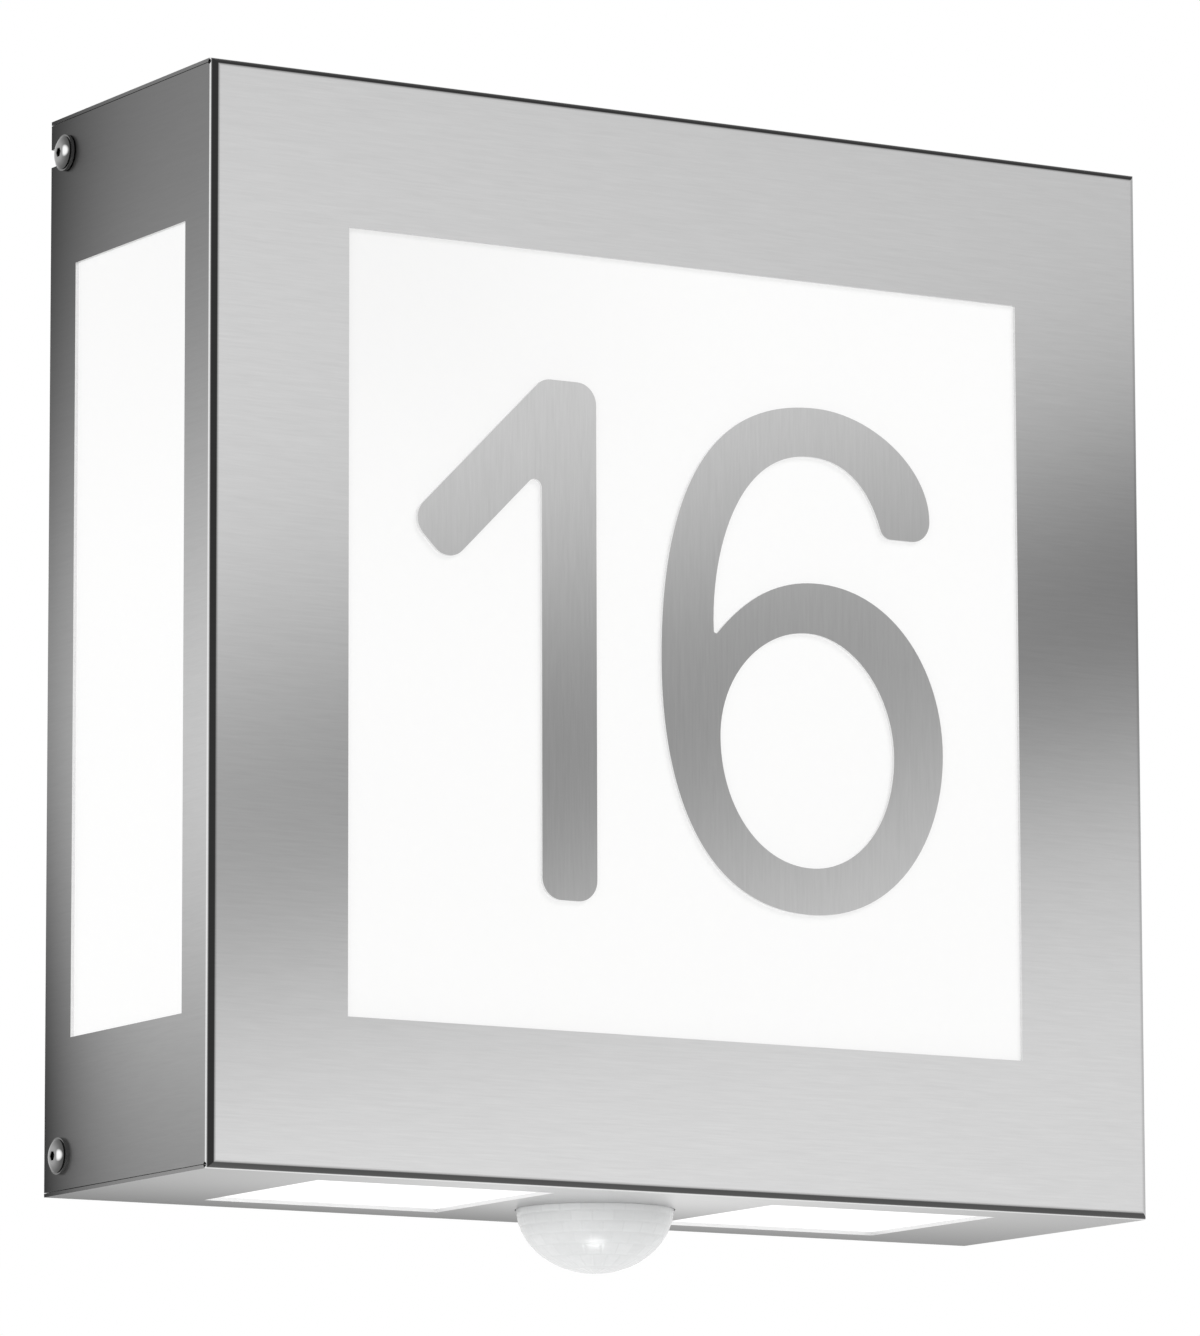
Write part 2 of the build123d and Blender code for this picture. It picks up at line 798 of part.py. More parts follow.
def terminal_screw_places():
    """Two screws that hold the terminal block, between its poles."""
    return [(terminal_x, -terminal_pitch / 2), (terminal_x, terminal_pitch / 2)]


def pole_screws():
    """Places of the clamping screws, two for each pole."""
    return [
        (terminal_x + side * terminal_screw_offset, pole * terminal_pitch)
        for pole in (-1, 0, 1)
        for side in (-1, 1)
    ]


def terminal_block():
    """Three pole block with lead channels and screw wells."""
    half_x = terminal_width / 2
    half_z = terminal_height / 2
    front = plate_front - terminal
    body = block((terminal_x - half_x, front, -half_z), (terminal_x + half_x, plate_front, half_z))
    body = fillet(body.faces().sort_by(Axis.Y)[0].edges(), terminal_edge)
    for pole in (-1, 0, 1):
        start = (terminal_x - half_x, lead_y, pole * terminal_pitch)
        body -= rod(start, (1, 0, 0), terminal_channel_radius, terminal_width)
    well_radius = terminal_channel_radius + terminal_well_gap
    for x, z in pole_screws():
        body -= rod((x, front, z), (0, 1, 0), well_radius, terminal - terminal_channel)
    for x, z in terminal_screw_places():
        body -= rod((x, front, z), (0, 1, 0), 2 * clamp_screw_radius + screw_fit, terminal - clamp_strap)
        body -= rod((x, front, z), (0, 1, 0), clamp_screw_radius + thread_gap, terminal)
    return body


def terminal_screws():
    """Clamping screws in their wells, each down on its lead or channel."""
    tip = lead_y - lead_radius
    head = plate_front - terminal + terminal_screw_inset
    radius = terminal_channel_radius
    pieces = []
    for x, z in pole_screws():
        slot = block(
            (x - radius, head, z - terminal_slot / 2),
            (x + radius, head + terminal_slot_depth, z + terminal_slot / 2),
        )
        pieces.append(rod((x, tip, z), (0, -1, 0), radius, tip - head) - slot)
    return pieces


def terminal_mount_screws():
    """Screws that hold the terminal block to the plate."""
    return plate_screws(terminal_screw_places(), clamp_strap)


lead_start = terminal_x - terminal_width / 2 + lead_grip
lead_turn = terminal_x - terminal_width / 2 - 2 * lead_bend


def neutral_lead():
    """Inner lead from the terminal block to the driver."""
    level = supply_level - lead_radius
    points = [
        (lead_start, lead_y, -terminal_pitch),
        (lead_turn, lead_y, -terminal_pitch),
        (lead_turn, lead_y, level),
        (driver_left, lead_y, level),
    ]
    return wire(points, lead_bend, lead_radius)


def live_lead():
    """Outer lead from the terminal block to the driver."""
    level = supply_level - lead_radius - lead_spread
    points = [
        (lead_start, lead_y, 0),
        (lead_turn - lead_spread, lead_y, 0),
        (lead_turn - lead_spread, lead_y, level),
        (driver_left, lead_y, level),
    ]
    return wire(points, lead_bend, lead_radius)


barrel_radius = lead_radius + lug_barrel_wall
barrel_y = plate_front - barrel_radius
barrel_start = terminal_x - lug_radius - lug_barrel


def earth_lead():
    """Lead from the terminal block up to the earth lug."""
    points = [
        (lead_start, lead_y, terminal_pitch),
        (lead_turn, lead_y, terminal_pitch),
        (lead_turn, barrel_y, earth_level),
        (barrel_start + lug_grip, barrel_y, earth_level),
    ]
    return wire(points, [lead_bend, earth_lead_bend], lead_radius)


def earth_stud_bolt():
    """Weld stud of the earth point."""
    return rod((terminal_x, plate_front, earth_level), (0, -1, 0), earth_stud_radius, earth_stud)


def earth_lug():
    """Ring lug with a crimped barrel."""
    bore = earth_stud_radius + screw_fit
    body = rod((terminal_x, plate_front, earth_level), (0, -1, 0), lug_radius, lug)
    neck_start = barrel_start + lug_barrel - lug_overlap
    body += block(
        (neck_start, plate_front - lug, earth_level - barrel_radius),
        (terminal_x, plate_front, earth_level + barrel_radius),
    )
    body += rod((barrel_start, barrel_y, earth_level), (1, 0, 0), barrel_radius, lug_barrel)
    body -= rod((barrel_start, barrel_y, earth_level), (1, 0, 0), lead_radius + thread_gap, lug_barrel)
    return body - rod((terminal_x, plate_front, earth_level), (0, -1, 0), bore, lug)


def earth_nut():
    """Nut on the earth stud."""
    start = (terminal_x, plate_front - lug, earth_level)
    return hex_nut(start, (0, -1, 0), large_nut_flat, earth_stud_radius + thread_gap, large_nut)


# --- Driver ----------------------------------------------------------------------------------------

def driver_screw_places():
    """Two screws in the driver's tabs."""
    return [
        (driver_left - driver_tab / 2, driver_tab_level),
        (driver_right + driver_tab / 2, driver_tab_level),
    ]


def led_driver():
    """Moulded driver case with a tab at each end."""
    body = block((driver_left, driver_front, driver_low), (driver_right, plate_front, driver_top))
    body = fillet(body.edges().filter_by(Axis.X).group_by(Axis.Y)[0], driver_edge)
    half_tab = driver_tab_height / 2
    body += block(
        (driver_left - driver_tab, plate_front - driver_tab_sheet, driver_tab_level - half_tab),
        (driver_right + driver_tab, plate_front, driver_tab_level + half_tab),
    )
    for x, z in driver_screw_places():
        body -= rod((x, plate_front, z), (0, -1, 0), clamp_screw_radius + thread_gap, driver_tab_sheet)
    return body


def driver_screws():
    """Screws in the driver's tabs."""
    return plate_screws(driver_screw_places(), driver_tab_sheet)


# --- Lamp tray -------------------------------------------------------------------------------------

def spacer_places():
    """Four hexagon spacers."""
    x = tray_half_width - spacer_inset_x
    levels = (tray_bottom + spacer_inset_z, tray_top - spacer_inset_z)
    return [(side * x, z) for side in (-1, 1) for z in levels]


def spacers():
    """Hexagon spacers between the plate and the tray."""
    pieces = []
    for x, z in spacer_places():
        body = hex_bar((x, plate_front, z), (0, -1, 0), spacer_flat, plate_front - spacer_front)
        bore = rod((x, spacer_front, z), (0, 1, 0), screw_radius + thread_gap, spacer_bore_depth)
        pieces.append(body - bore)
    return pieces


def tray_screws():
    """Screws through the tray into the spacers."""
    length = tray + tray_screw_reach
    return [pan_screw((x, -tray_front, z), (0, -1, 0), screw_radius, length) for x, z in spacer_places()]


def led_tray():
    """White tray with side lips, spacer holes, a lead hole and the socket's hole."""
    body = block((-tray_half_width, -tray_front, tray_bottom), (tray_half_width, spacer_front, tray_top))
    for side in (-1, 1):
        xs = sorted((side * tray_half_width, side * (tray_half_width - tray)))
        body += block((xs[0], -tray_front, tray_bottom), (xs[1], -tray_front + tray_lip, tray_top))
    for x, z in spacer_places():
        body -= rod((x, spacer_front, z), (0, -1, 0), screw_radius + screw_fit, tray)
    body -= rod((plug_x, spacer_front, plug_level), (0, -1, 0), socket_boss_radius + thread_gap, tray)
    hole = (connector_offset, spacer_front, supply_level - supply_pitch / 2)
    return body - rod(hole, (0, -1, 0), supply_hole_radius, tray)


def led_boards():
    """Long narrow boards on the tray."""
    half = board_height / 2
    return [
        block((-board_half_length, board_front, z - half), (board_half_length, -tray_front, z + half))
        for z in (low_board, middle_board, high_board)
    ]


def led_chips():
    """Light emitting chips in a row on each board."""
    half = chip_size / 2
    reach = connector_offset - chip_margin
    pieces = []
    for z in (low_board, middle_board, high_board):
        for index in range(chip_count):
            x = reach * (2 * index / (chip_count - 1) - 1)
            pieces.append(block((x - half, board_front - chip, z - half), (x + half, board_front, z + half)))
    return pieces


def connector_block(side, level):
    """Connector at one end of a board."""
    x = side * connector_offset
    half_x = connector_width / 2
    half_z = connector_height / 2
    return block(
        (x - half_x, board_front - connector, level - half_z),
        (x + half_x, board_front, level + half_z),
    )


def led_connectors():
    """Connectors of the supply leads and the two jumper pairs."""
    ends = [(1, low_board), (-1, low_board), (-1, middle_board), (1, middle_board), (1, high_board)]
    return [connector_block(side, level) for side, level in ends]


jumper_y = board_front - connector / 2


def led_jumpers():
    """Pairs of slightly bowed jumper wires from board to board."""
    bends = [jumper_tail_bend, jumper_bow_bend, jumper_tail_bend]
    pieces = []
    for side, low, high in ((-1, low_board, middle_board), (1, middle_board, high_board)):
        start = low + connector_height / 2
        end = high - connector_height / 2
        for wire_side in (-1, 1):
            x = side * connector_offset + wire_side * jumper_pitch / 2
            points = [
                (x, jumper_y, start),
                (x, jumper_y, start + jumper_tail),
                (x + side * jumper_bow, jumper_y, (start + end) / 2),
                (x, jumper_y, end - jumper_tail),
                (x, jumper_y, end),
            ]
            pieces.append(wire(points, bends, jumper_radius))
    return pieces


def supply_leads():
    """Two wires from the driver through the tray to the lowest board."""
    pieces = []
    entry = low_board + connector_height / 2
    for index in (0, 1):
        x = connector_offset + (0.5 - index) * jumper_pitch
        level = supply_level - index * supply_pitch
        points = [
            (driver_right, driver_y, level),
            (x, driver_y, level),
            (x, jumper_y, level),
            (x, jumper_y, entry),
        ]
        pieces.append(wire(points, wire_bend, jumper_radius))
    return pieces


# --- Motion sensor ---------------------------------------------------------------------------------

def dome_outline(radius, drop, top):
    """Half section of the lens dome between its axis and its outer face, up to a level."""
    centre = (0, sensor_floor)
    outline = [
        EllipticalCenterArc(centre, radius, drop, start_angle=-quarter_turn, arc_size=quarter_turn),
        Line((radius, sensor_floor), (radius, top)),
        Line((radius, top), (0, top)),
        Line((0, top), (0, sensor_floor - drop)),
    ]
    return make_face(outline)


def at_sensor(section):
    """Turn a half section about the sensor axis."""
    return Pos(0, sensor_y, 0) * revolve(Plane.XZ * section, Axis.Z)


def sensor_dome():
    """Thin lens dome with a flange inside the cover."""
    top = housing_flange_low
    body = at_sensor(dome_outline(dome_radius, dome_drop, top))
    body += rod((0, sensor_y, top - dome_wall), (0, 0, 1), sensor_flange_radius, dome_wall)
    return body - at_sensor(dome_outline(dome_radius - dome_wall, dome_drop - dome_wall, top))


def dome_seal_ring():
    """Soft ring between the dome's flange and the cover."""
    start = (0, sensor_y, sensor_floor)
    return tube(start, (0, 0, 1), sensor_flange_radius, dome_radius + dome_gap, dome_seal)


board_level = housing_flange_low + housing_shoulder - board
roof = housing_top - housing_wall
dial_board_top = roof - trimmer


def dial_places():
    """Axes of the three dials, side by side."""
    return {
        "time_dial": (-dial_pitch, sensor_y),
        "lux_dial": (0.0, sensor_y),
        "range_dial": (dial_pitch, sensor_y),
    }


def sensor_lead_place():
    """Where the sensor's lead leaves the housing."""
    return plug_x, sensor_y - sensor_lead_offset


def sensor_housing():
    """Cup over the sensor with a flange, a shoulder for the board and holes for dials and lead."""
    axis = (0, sensor_y)
    low = housing_flange_low
    neck = low + housing_neck
    shoulder = low + housing_shoulder
    body = rod((*axis, low), (0, 0, 1), sensor_flange_radius, sensor_flange_top - low)
    body += rod((*axis, low), (0, 0, 1), housing_radius, housing_neck)
    body += rod((*axis, neck), (0, 0, 1), housing_upper_radius, housing_top - neck)
    body -= rod((*axis, low), (0, 0, 1), housing_radius - housing_wall, housing_shoulder)
    upper_bore = housing_upper_radius - housing_wall
    body -= rod((*axis, shoulder), (0, 0, 1), upper_bore, roof - shoulder)
    for x, y in dial_places().values():
        body -= rod((x, y, roof), (0, 0, 1), dial_shaft_radius + dial_fit, housing_wall)
    lead_start = (*sensor_lead_place(), roof)
    return body - rod(lead_start, (0, 0, 1), sensor_lead_radius + thread_gap, housing_wall)


def sensor_plate_sheet():
    """Plate that clamps the housing's flange and the inner ends of the underside panes."""
    low = sensor_flange_top
    half_x = under_pane_start + sensor_plate_lap
    half_y = sensor_flange_radius + sensor_plate_depth_margin
    body = block((-half_x, sensor_y - half_y, low), (half_x, sensor_y + half_y, low + sensor_plate))
    body -= rod((0, sensor_y, low), (0, 0, 1), housing_radius + dome_gap, sensor_plate)
    for x, y in sensor_studs():
        body -= rod((x, y, low), (0, 0, 1), stud_radius + screw_fit, sensor_plate)
    return body


def sensor_board():
    """Round board against the housing's shoulder."""
    radius = housing_radius - housing_wall - screw_fit
    return rod((0, sensor_y, board_level), (0, 0, 1), radius, board)


def pir_detector():
    """Infrared detector can with its rim, facing the lens."""
    body = rod((0, sensor_y, board_level), (0, 0, -1), detector_radius, detector)
    rim = rod((0, sensor_y, board_level), (0, 0, -1), detector_radius + detector_rim, detector_rim_height)
    return body + rim


def light_sensor_cell():
    """Small daylight sensor beside the detector."""
    start = (light_sensor_offset, sensor_y, board_level)
    return rod(start, (0, 0, -1), light_sensor_radius, light_sensor)


def dial_board():
    """Round board that carries the three trimmers."""
    radius = housing_upper_radius - housing_wall - dial_board_gap
    return rod((0, sensor_y, dial_board_top - board), (0, 0, 1), radius, board)


def board_link():
    """Pin header between the two boards."""
    half_x = link_width / 2
    half_y = link_depth / 2
    low = board_level + board
    high = dial_board_top - board
    return block((-half_x, sensor_y - half_y, low), (half_x, sensor_y + half_y, high))


def trimmers():
    """Square trimmers under the housing's roof, each with a well for its dial's shaft."""
    half = trimmer_width / 2
    depth = dial_shaft - housing_wall + dial_slot
    pieces = []
    for x, y in dial_places().values():
        body = block((x - half, y - half, dial_board_top), (x + half, y + half, roof))
        pieces.append(body - rod((x, y, roof), (0, 0, -1), dial_shaft_radius + dial_fit, depth))
    return pieces


def dial(x, y):
    """Slotted dial with a shaft through the housing's roof."""
    low = housing_top + slide_gap
    body = rod((x, y, low), (0, 0, 1), dial_radius, dial_height)
    body = chamfer(body.edges().filter_by(GeomType.CIRCLE).sort_by(Axis.Z)[-1], dial_chamfer)
    body -= block(
        (x - dial_radius, y - dial_slot / 2, low + dial_height - dial_slot_depth),
        (x + dial_radius, y + dial_slot / 2, low + dial_height),
    )
    return body + rod((x, y, low), (0, 0, -1), dial_shaft_radius, dial_shaft)


# --- Sensor plug and socket ------------------------------------------------------------------------

socket_front = -tray_front - socket
plug_tip = socket_front + plug_in
plug_rear = socket_front - plug_out
plug_half_x = socket_width / 2 - socket_wall - plug_gap
plug_half_z = socket_height / 2 - socket_wall - plug_gap


def pin_places():
    """Pins side by side."""
    return [plug_x + (index - (pin_count - 1) / 2) * pin_pitch for index in range(pin_count)]


def sensor_socket():
    """Open box on the tray with a boss through it for the lead."""
    half_x = socket_width / 2
    half_z = socket_height / 2
    body = block(
        (plug_x - half_x, socket_front, plug_level - half_z),
        (plug_x + half_x, -tray_front, plug_level + half_z),
    )
    inner_half_x = half_x - socket_wall
    inner_half_z = half_z - socket_wall
    body -= block(
        (plug_x - inner_half_x, socket_front, plug_level - inner_half_z),
        (plug_x + inner_half_x, -tray_front - socket_wall, plug_level + inner_half_z),
    )
    boss_start = (plug_x, -tray_front, plug_level)
    return body + rod(boss_start, (0, 1, 0), socket_boss_radius, tray + socket_boss_reach)


def socket_pins():
    """Pins that stand on the socket's floor."""
    floor = -tray_front - socket_wall
    return [rod((x, floor, plug_level), (0, -1, 0), pin_radius, pin) for x in pin_places()]


def sensor_plug():
    """Plug in the socket, with a wider grip in front of it."""
    body = block(
        (plug_x - plug_half_x, socket_front, plug_level - plug_half_z),
        (plug_x + plug_half_x, plug_tip, plug_level + plug_half_z),
    )
    half_x = socket_width / 2
    half_z = socket_height / 2
    grip = block(
        (plug_x - half_x, plug_rear, plug_level - half_z),
        (plug_x + half_x, socket_front - plug_gap, plug_level + half_z),
    )
    neck = block(
        (plug_x - plug_half_x, socket_front - plug_gap, plug_level - plug_half_z),
        (plug_x + plug_half_x, socket_front, plug_level + plug_half_z),
    )
    body += neck + grip
    for x in pin_places():
        body -= rod((x, plug_tip, plug_level), (0, -1, 0), pin_radius + pin_gap, pin + slide_gap)
    return body


def socket_lead():
    """Lead from the socket to the underside of the driver."""
    points = [
        (plug_x, spacer_front + socket_boss_reach, plug_level),
        (plug_x, driver_y, plug_level),
        (plug_x, driver_y, driver_low),
    ]
    return wire(points, lead_bend, sensor_lead_radius)


def sensor_lead():
    """Lead from the dial board through the housing's roof to the plug."""
    x, y = sensor_lead_place()
    points = [
        (x, y, dial_board_top),
        (x, y, plug_level),
        (x, plug_rear, plug_level),
    ]
    return wire(points, lead_bend, sensor_lead_radius)


# --- Files -----------------------------------------------------------------------------------------

save("cover_shell", cover_shell())
save("front_pane", front_pane())
right_pane, left_pane = both_sides(side_pane())
save("right_pane", right_pane)
save("left_pane", left_pane)
under_right_pane, under_left_pane = both_sides(under_pane())
save("under_right_pane", under_right_pane)
save("under_left_pane", under_left_pane)
save("pane_clips", *[place * pane_clip() for place in clip_places()])
save("cover_studs", *cover_studs())
save("cover_nuts", *cover_nuts())
save("numeral_one", numeral_one())
save("numeral_six", numeral_six())
save("upper_screws", *both_sides(upper_screw()))
save("upper_washers", *both_sides(upper_washer()))
save("captive_nuts", *both_sides(captive_nut_ring()))
save("lower_screws", *both_sides(lower_screw()))
save("lower_washers", *both_sides(lower_washer()))
save("lower_nuts", *both_sides(lower_nut()))
save("back_plate", back_plate())
save("wall_gasket", wall_gasket())
save("cable_grommet", cable_grommet())
save("cable_clamp", cable_clamp())
save("clamp_screws", *clamp_screws())
save("terminal_block", terminal_block())
save("terminal_screws", *terminal_screws())
save("terminal_mount_screws", *terminal_mount_screws())
save("neutral_lead", neutral_lead())
save("live_lead", live_lead())
save("earth_lead", earth_lead())
save("earth_stud", earth_stud_bolt())
save("earth_lug", earth_lug())
save("earth_nut", earth_nut())
save("led_driver", led_driver())
save("driver_screws", *driver_screws())
save("spacers", *spacers())
save("tray_screws", *tray_screws())
save("led_tray", led_tray())
save("led_boards", *led_boards())
save("led_chips", *led_chips())
save("led_connectors", *led_connectors())
save("led_jumpers", *led_jumpers())
save("supply_leads", *supply_leads())
save("sensor_dome", sensor_dome())
save("dome_seal", dome_seal_ring())
save("sensor_housing", sensor_housing())
save("sensor_plate", sensor_plate_sheet())
save("sensor_board", sensor_board())
save("pir_detector", pir_detector())
save("light_sensor", light_sensor_cell())
save("dial_board", dial_board())
save("board_link", board_link())
save("trimmers", *trimmers())
for dial_name, dial_place in dial_places().items():
    save(dial_name, dial(*dial_place))
save("sensor_socket", sensor_socket())
save("socket_pins", *socket_pins())
save("sensor_plug", sensor_plug())
save("socket_lead", socket_lead())
save("sensor_lead", sensor_lead())
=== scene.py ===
"""Looks of an illuminated house number sign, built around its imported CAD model.

Every length is in metres and every place is in the CAD model's frame: +X right, +Y into the wall, +Z up.
"""
from __future__ import annotations

import json
import logging
import math
from dataclasses import dataclass
from enum import Enum
from typing import Any, Callable, Sequence

import bmesh
import bpy
from mathutils import Matrix, Vector

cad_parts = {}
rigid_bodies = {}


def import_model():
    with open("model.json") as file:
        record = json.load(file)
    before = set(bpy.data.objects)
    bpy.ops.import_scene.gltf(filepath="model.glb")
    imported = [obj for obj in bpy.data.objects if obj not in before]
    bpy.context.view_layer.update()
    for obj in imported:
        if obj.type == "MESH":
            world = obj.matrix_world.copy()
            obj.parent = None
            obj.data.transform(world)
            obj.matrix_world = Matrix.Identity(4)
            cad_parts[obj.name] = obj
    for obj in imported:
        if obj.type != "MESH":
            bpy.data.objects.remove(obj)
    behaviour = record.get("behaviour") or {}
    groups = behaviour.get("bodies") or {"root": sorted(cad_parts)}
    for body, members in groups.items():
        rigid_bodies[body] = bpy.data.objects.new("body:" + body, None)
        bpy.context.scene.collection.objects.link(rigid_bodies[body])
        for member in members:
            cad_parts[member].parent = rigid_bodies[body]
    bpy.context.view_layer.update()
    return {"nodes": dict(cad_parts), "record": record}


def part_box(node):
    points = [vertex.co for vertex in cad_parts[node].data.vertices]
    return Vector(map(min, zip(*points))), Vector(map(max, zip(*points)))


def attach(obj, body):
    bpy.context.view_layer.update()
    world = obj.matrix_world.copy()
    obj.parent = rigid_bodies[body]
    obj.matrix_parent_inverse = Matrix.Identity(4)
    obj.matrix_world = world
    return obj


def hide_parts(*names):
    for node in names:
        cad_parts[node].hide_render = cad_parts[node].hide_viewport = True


LOG = logging.getLogger("house_number_sign")
MM = 0.001
MERGE = 0.001 * MM
ARRIS = math.radians(32)
FRONTWARD = Vector((0.0, -1.0, 0.0))

Socket = bpy.types.NodeSocket
Sockets = dict[str, Socket]
Node = bpy.types.Node
Piece = bpy.types.Object
Form = bmesh.types.BMesh
Faces = list[bmesh.types.BMFace]
Triple = tuple[float, float, float]
Row = tuple[float, float]
Box = tuple[Vector, Vector]


class Body(str, Enum):
    """Bodies of the CAD model that pieces ride on."""

    BASE = "base"
    COVER = "cover"


class Grain(Enum):
    """How many grain streaks a metre has along X, Y and Z."""

    LEVEL = (120.0, 120.0, 2400.0)
    CROSS = (120.0, 2400.0, 120.0)
    UPRIGHT = (2400.0, 120.0, 120.0)
    ROLLED = (420.0, 420.0, 420.0)


# --- Shader graphs -----------------------------------------------------------------------------------


class Graph:
    """Places and joins the nodes of one shader tree."""

    def __init__(self, tree: bpy.types.NodeTree) -> None:
        """Keep the tree of a material, a world or a group."""
        self.tree = tree

    def node(self, kind: str, **settings: Any) -> Node:
        """Add a node.

        Args:
            kind: Blender's name of the node type.
            settings: Properties to set on it.

        Returns:
            The new node.
        """
        made = self.tree.nodes.new(kind)
        for name, value in settings.items():
            setattr(made, name, value)
        return made

    def feed(self, socket: Socket, value: Any) -> None:
        """Join a socket to an output, or give it a plain value.

        Args:
            socket: Input to feed.
            value: Output socket, number or sequence of numbers.
        """
        if isinstance(value, bpy.types.NodeSocket):
            self.tree.links.new(value, socket)
        else:
            socket.default_value = value

    def math(
        self, operation: str, first: Any, second: Any = 0.0, third: Any = 0.0, clamp: bool = False,
    ) -> Socket:
        """Work out a number.

        Args:
            operation: Operation of a Math node.
            first: First value or socket.
            second: Second value or socket.
            third: Third value or socket.
            clamp: Whether the result stays from 0 to 1.

        Returns:
            The socket that holds the result.
        """
        made = self.node("ShaderNodeMath", operation=operation, use_clamp=clamp)
        for socket, value in zip(made.inputs, (first, second, third)):
            self.feed(socket, value)
        return made.outputs[0]

    def vector(self, operation: str, first: Any, second: Any = (0.0, 0.0, 0.0)) -> Node:
        """Work on vectors.

        Args:
            operation: Operation of a Vector Math node.
            first: First vector or socket.
            second: Second vector or socket.

        Returns:
            The node, whose outputs are Vector and Value.
        """
        made = self.node("ShaderNodeVectorMath", operation=operation)
        self.feed(made.inputs[0], first)
        self.feed(made.inputs[1], second)
        return made

    def axes(self, vector: Socket) -> Sockets:
        """Part a vector into its shares.

        Args:
            vector: Socket with the vector.

        Returns:
            The sockets with X, Y and Z.
        """
        made = self.node("ShaderNodeSeparateXYZ")
        self.feed(made.inputs[0], vector)
        return {axis: made.outputs[axis] for axis in "XYZ"}

    def joined(self, **shares: Any) -> Socket:
        """Join shares to a vector.

        Args:
            shares: Values or sockets for X, Y and Z; a missing one is 0.

        Returns:
            The socket with the vector.
        """
        made = self.node("ShaderNodeCombineXYZ")
        for axis, share in shares.items():
            self.feed(made.inputs[axis], share)
        return made.outputs[0]

    def noise(self, place: Socket, scale: Any, detail: float, roughness: float = 0.5) -> Socket:
        """Read a soft noise.

        Args:
            place: Socket with the place to read it at.
            scale: Bumps in a metre, as a value or socket.
            detail: How many finer layers it has.
            roughness: How strong the finer layers are.

        Returns:
            The socket with the noise, around 0.5.
        """
        made = self.node("ShaderNodeTexNoise")
        settings = {"Vector": place, "Scale": scale, "Detail": detail, "Roughness": roughness}
        for label, value in settings.items():
            self.feed(made.inputs[label], value)
        return made.outputs[0]

    def blend(self, share: Any, first: Any, second: Any) -> Socket:
        """Mix two numbers.

        Args:
            share: How much of the second is taken, from 0 to 1.
            first: Value or socket at share 0.
            second: Value or socket at share 1.

        Returns:
            The socket that holds the mixed number.
        """
        made = self.node("ShaderNodeMix", data_type="FLOAT")
        self.feed(made.inputs[0], share)
        self.feed(made.inputs[2], first)
        self.feed(made.inputs[3], second)
        return made.outputs[0]

    def tint(self, tone: Socket, colour: Triple) -> Socket:
        """Multiply a colour by a tone.

        Args:
            tone: Socket with the tone.
            colour: Colour at tone 1.

        Returns:
            The socket that holds the coloured tone.
        """
        made = self.vector("SCALE", colour)
        self.feed(made.inputs["Scale"], tone)
        return made.outputs["Vector"]

    def ramp(self, share: Socket, stops: Sequence[Row]) -> Socket:
        """Turn a share into grey tones.

        Args:
            share: Socket from 0 to 1.
            stops: Pairs of place and grey value, in order.

        Returns:
            The socket with the tone.
        """
        made = self.node("ShaderNodeValToRGB")
        elements = made.color_ramp.elements
        while len(elements) < len(stops):
            elements.new(1.0)
        for element, (place, grey) in zip(elements, stops):
            element.position = place
            element.color = (grey, grey, grey, 1.0)
        self.feed(made.inputs[0], share)
        return self.math("MULTIPLY", made.outputs["Color"], 1.0)

    def seen(self) -> Socket:
        """Tell the rays that show the room: those to the camera, and those by way of metal or glass.

        Returns:
            The socket that holds 1 for such a ray and 0 for light.
        """
        path = self.node("ShaderNodeLightPath")
        either = self.math("ADD", path.outputs["Is Camera Ray"], path.outputs["Is Glossy Ray"])
        return self.math("ADD", either, path.outputs["Is Transmission Ray"], clamp=True)


class SharedEffect:
    """Node group with named inputs and outputs that several materials use."""

    name = ""
    inputs: dict[str, tuple[str, Any]] = {}
    outputs: dict[str, str] = {}

    def wire(self, graph: Graph, given: Sockets) -> Sockets:
        """Join the nodes inside the group.

        Args:
            graph: Graph of the group's own tree.
            given: The group's inputs by name.

        Returns:
            The group's outputs by name.
        """
        raise NotImplementedError

    def tree(self) -> bpy.types.NodeTree:
        """Find the group's tree, which is built the first time.

        Returns:
            The node tree.
        """
        if self.name in bpy.data.node_groups:
            return bpy.data.node_groups[self.name]
        tree = bpy.data.node_groups.new(self.name, "ShaderNodeTree")
        for label, (kind, default) in self.inputs.items():
            socket = tree.interface.new_socket(label, in_out="INPUT", socket_type=kind)
            socket.default_value = default
        for label, kind in self.outputs.items():
            tree.interface.new_socket(label, in_out="OUTPUT", socket_type=kind)
        graph = Graph(tree)
        source = graph.node("NodeGroupInput")
        sink = graph.node("NodeGroupOutput")
        results = self.wire(graph, {label: source.outputs[label] for label in self.inputs})
        for label, result in results.items():
            graph.feed(sink.inputs[label], result)
        return tree

    def place(self, graph: Graph, **values: Any) -> Sockets:
        """Place the group in a material.

        Args:
            graph: Graph of the material.
            values: Values or sockets by input name, with spaces written as underscores.

        Returns:
            The placed group's outputs by name.
        """
        made = graph.node("ShaderNodeGroup", node_tree=self.tree())
        for label, value in values.items():
            graph.feed(made.inputs[label.replace("_", " ")], value)
        return {label: made.outputs[label] for label in self.outputs}


NUMBER = "NodeSocketFloat"
VECTOR = "NodeSocketVector"
ORIGIN = (0.0, 0.0, 0.0)


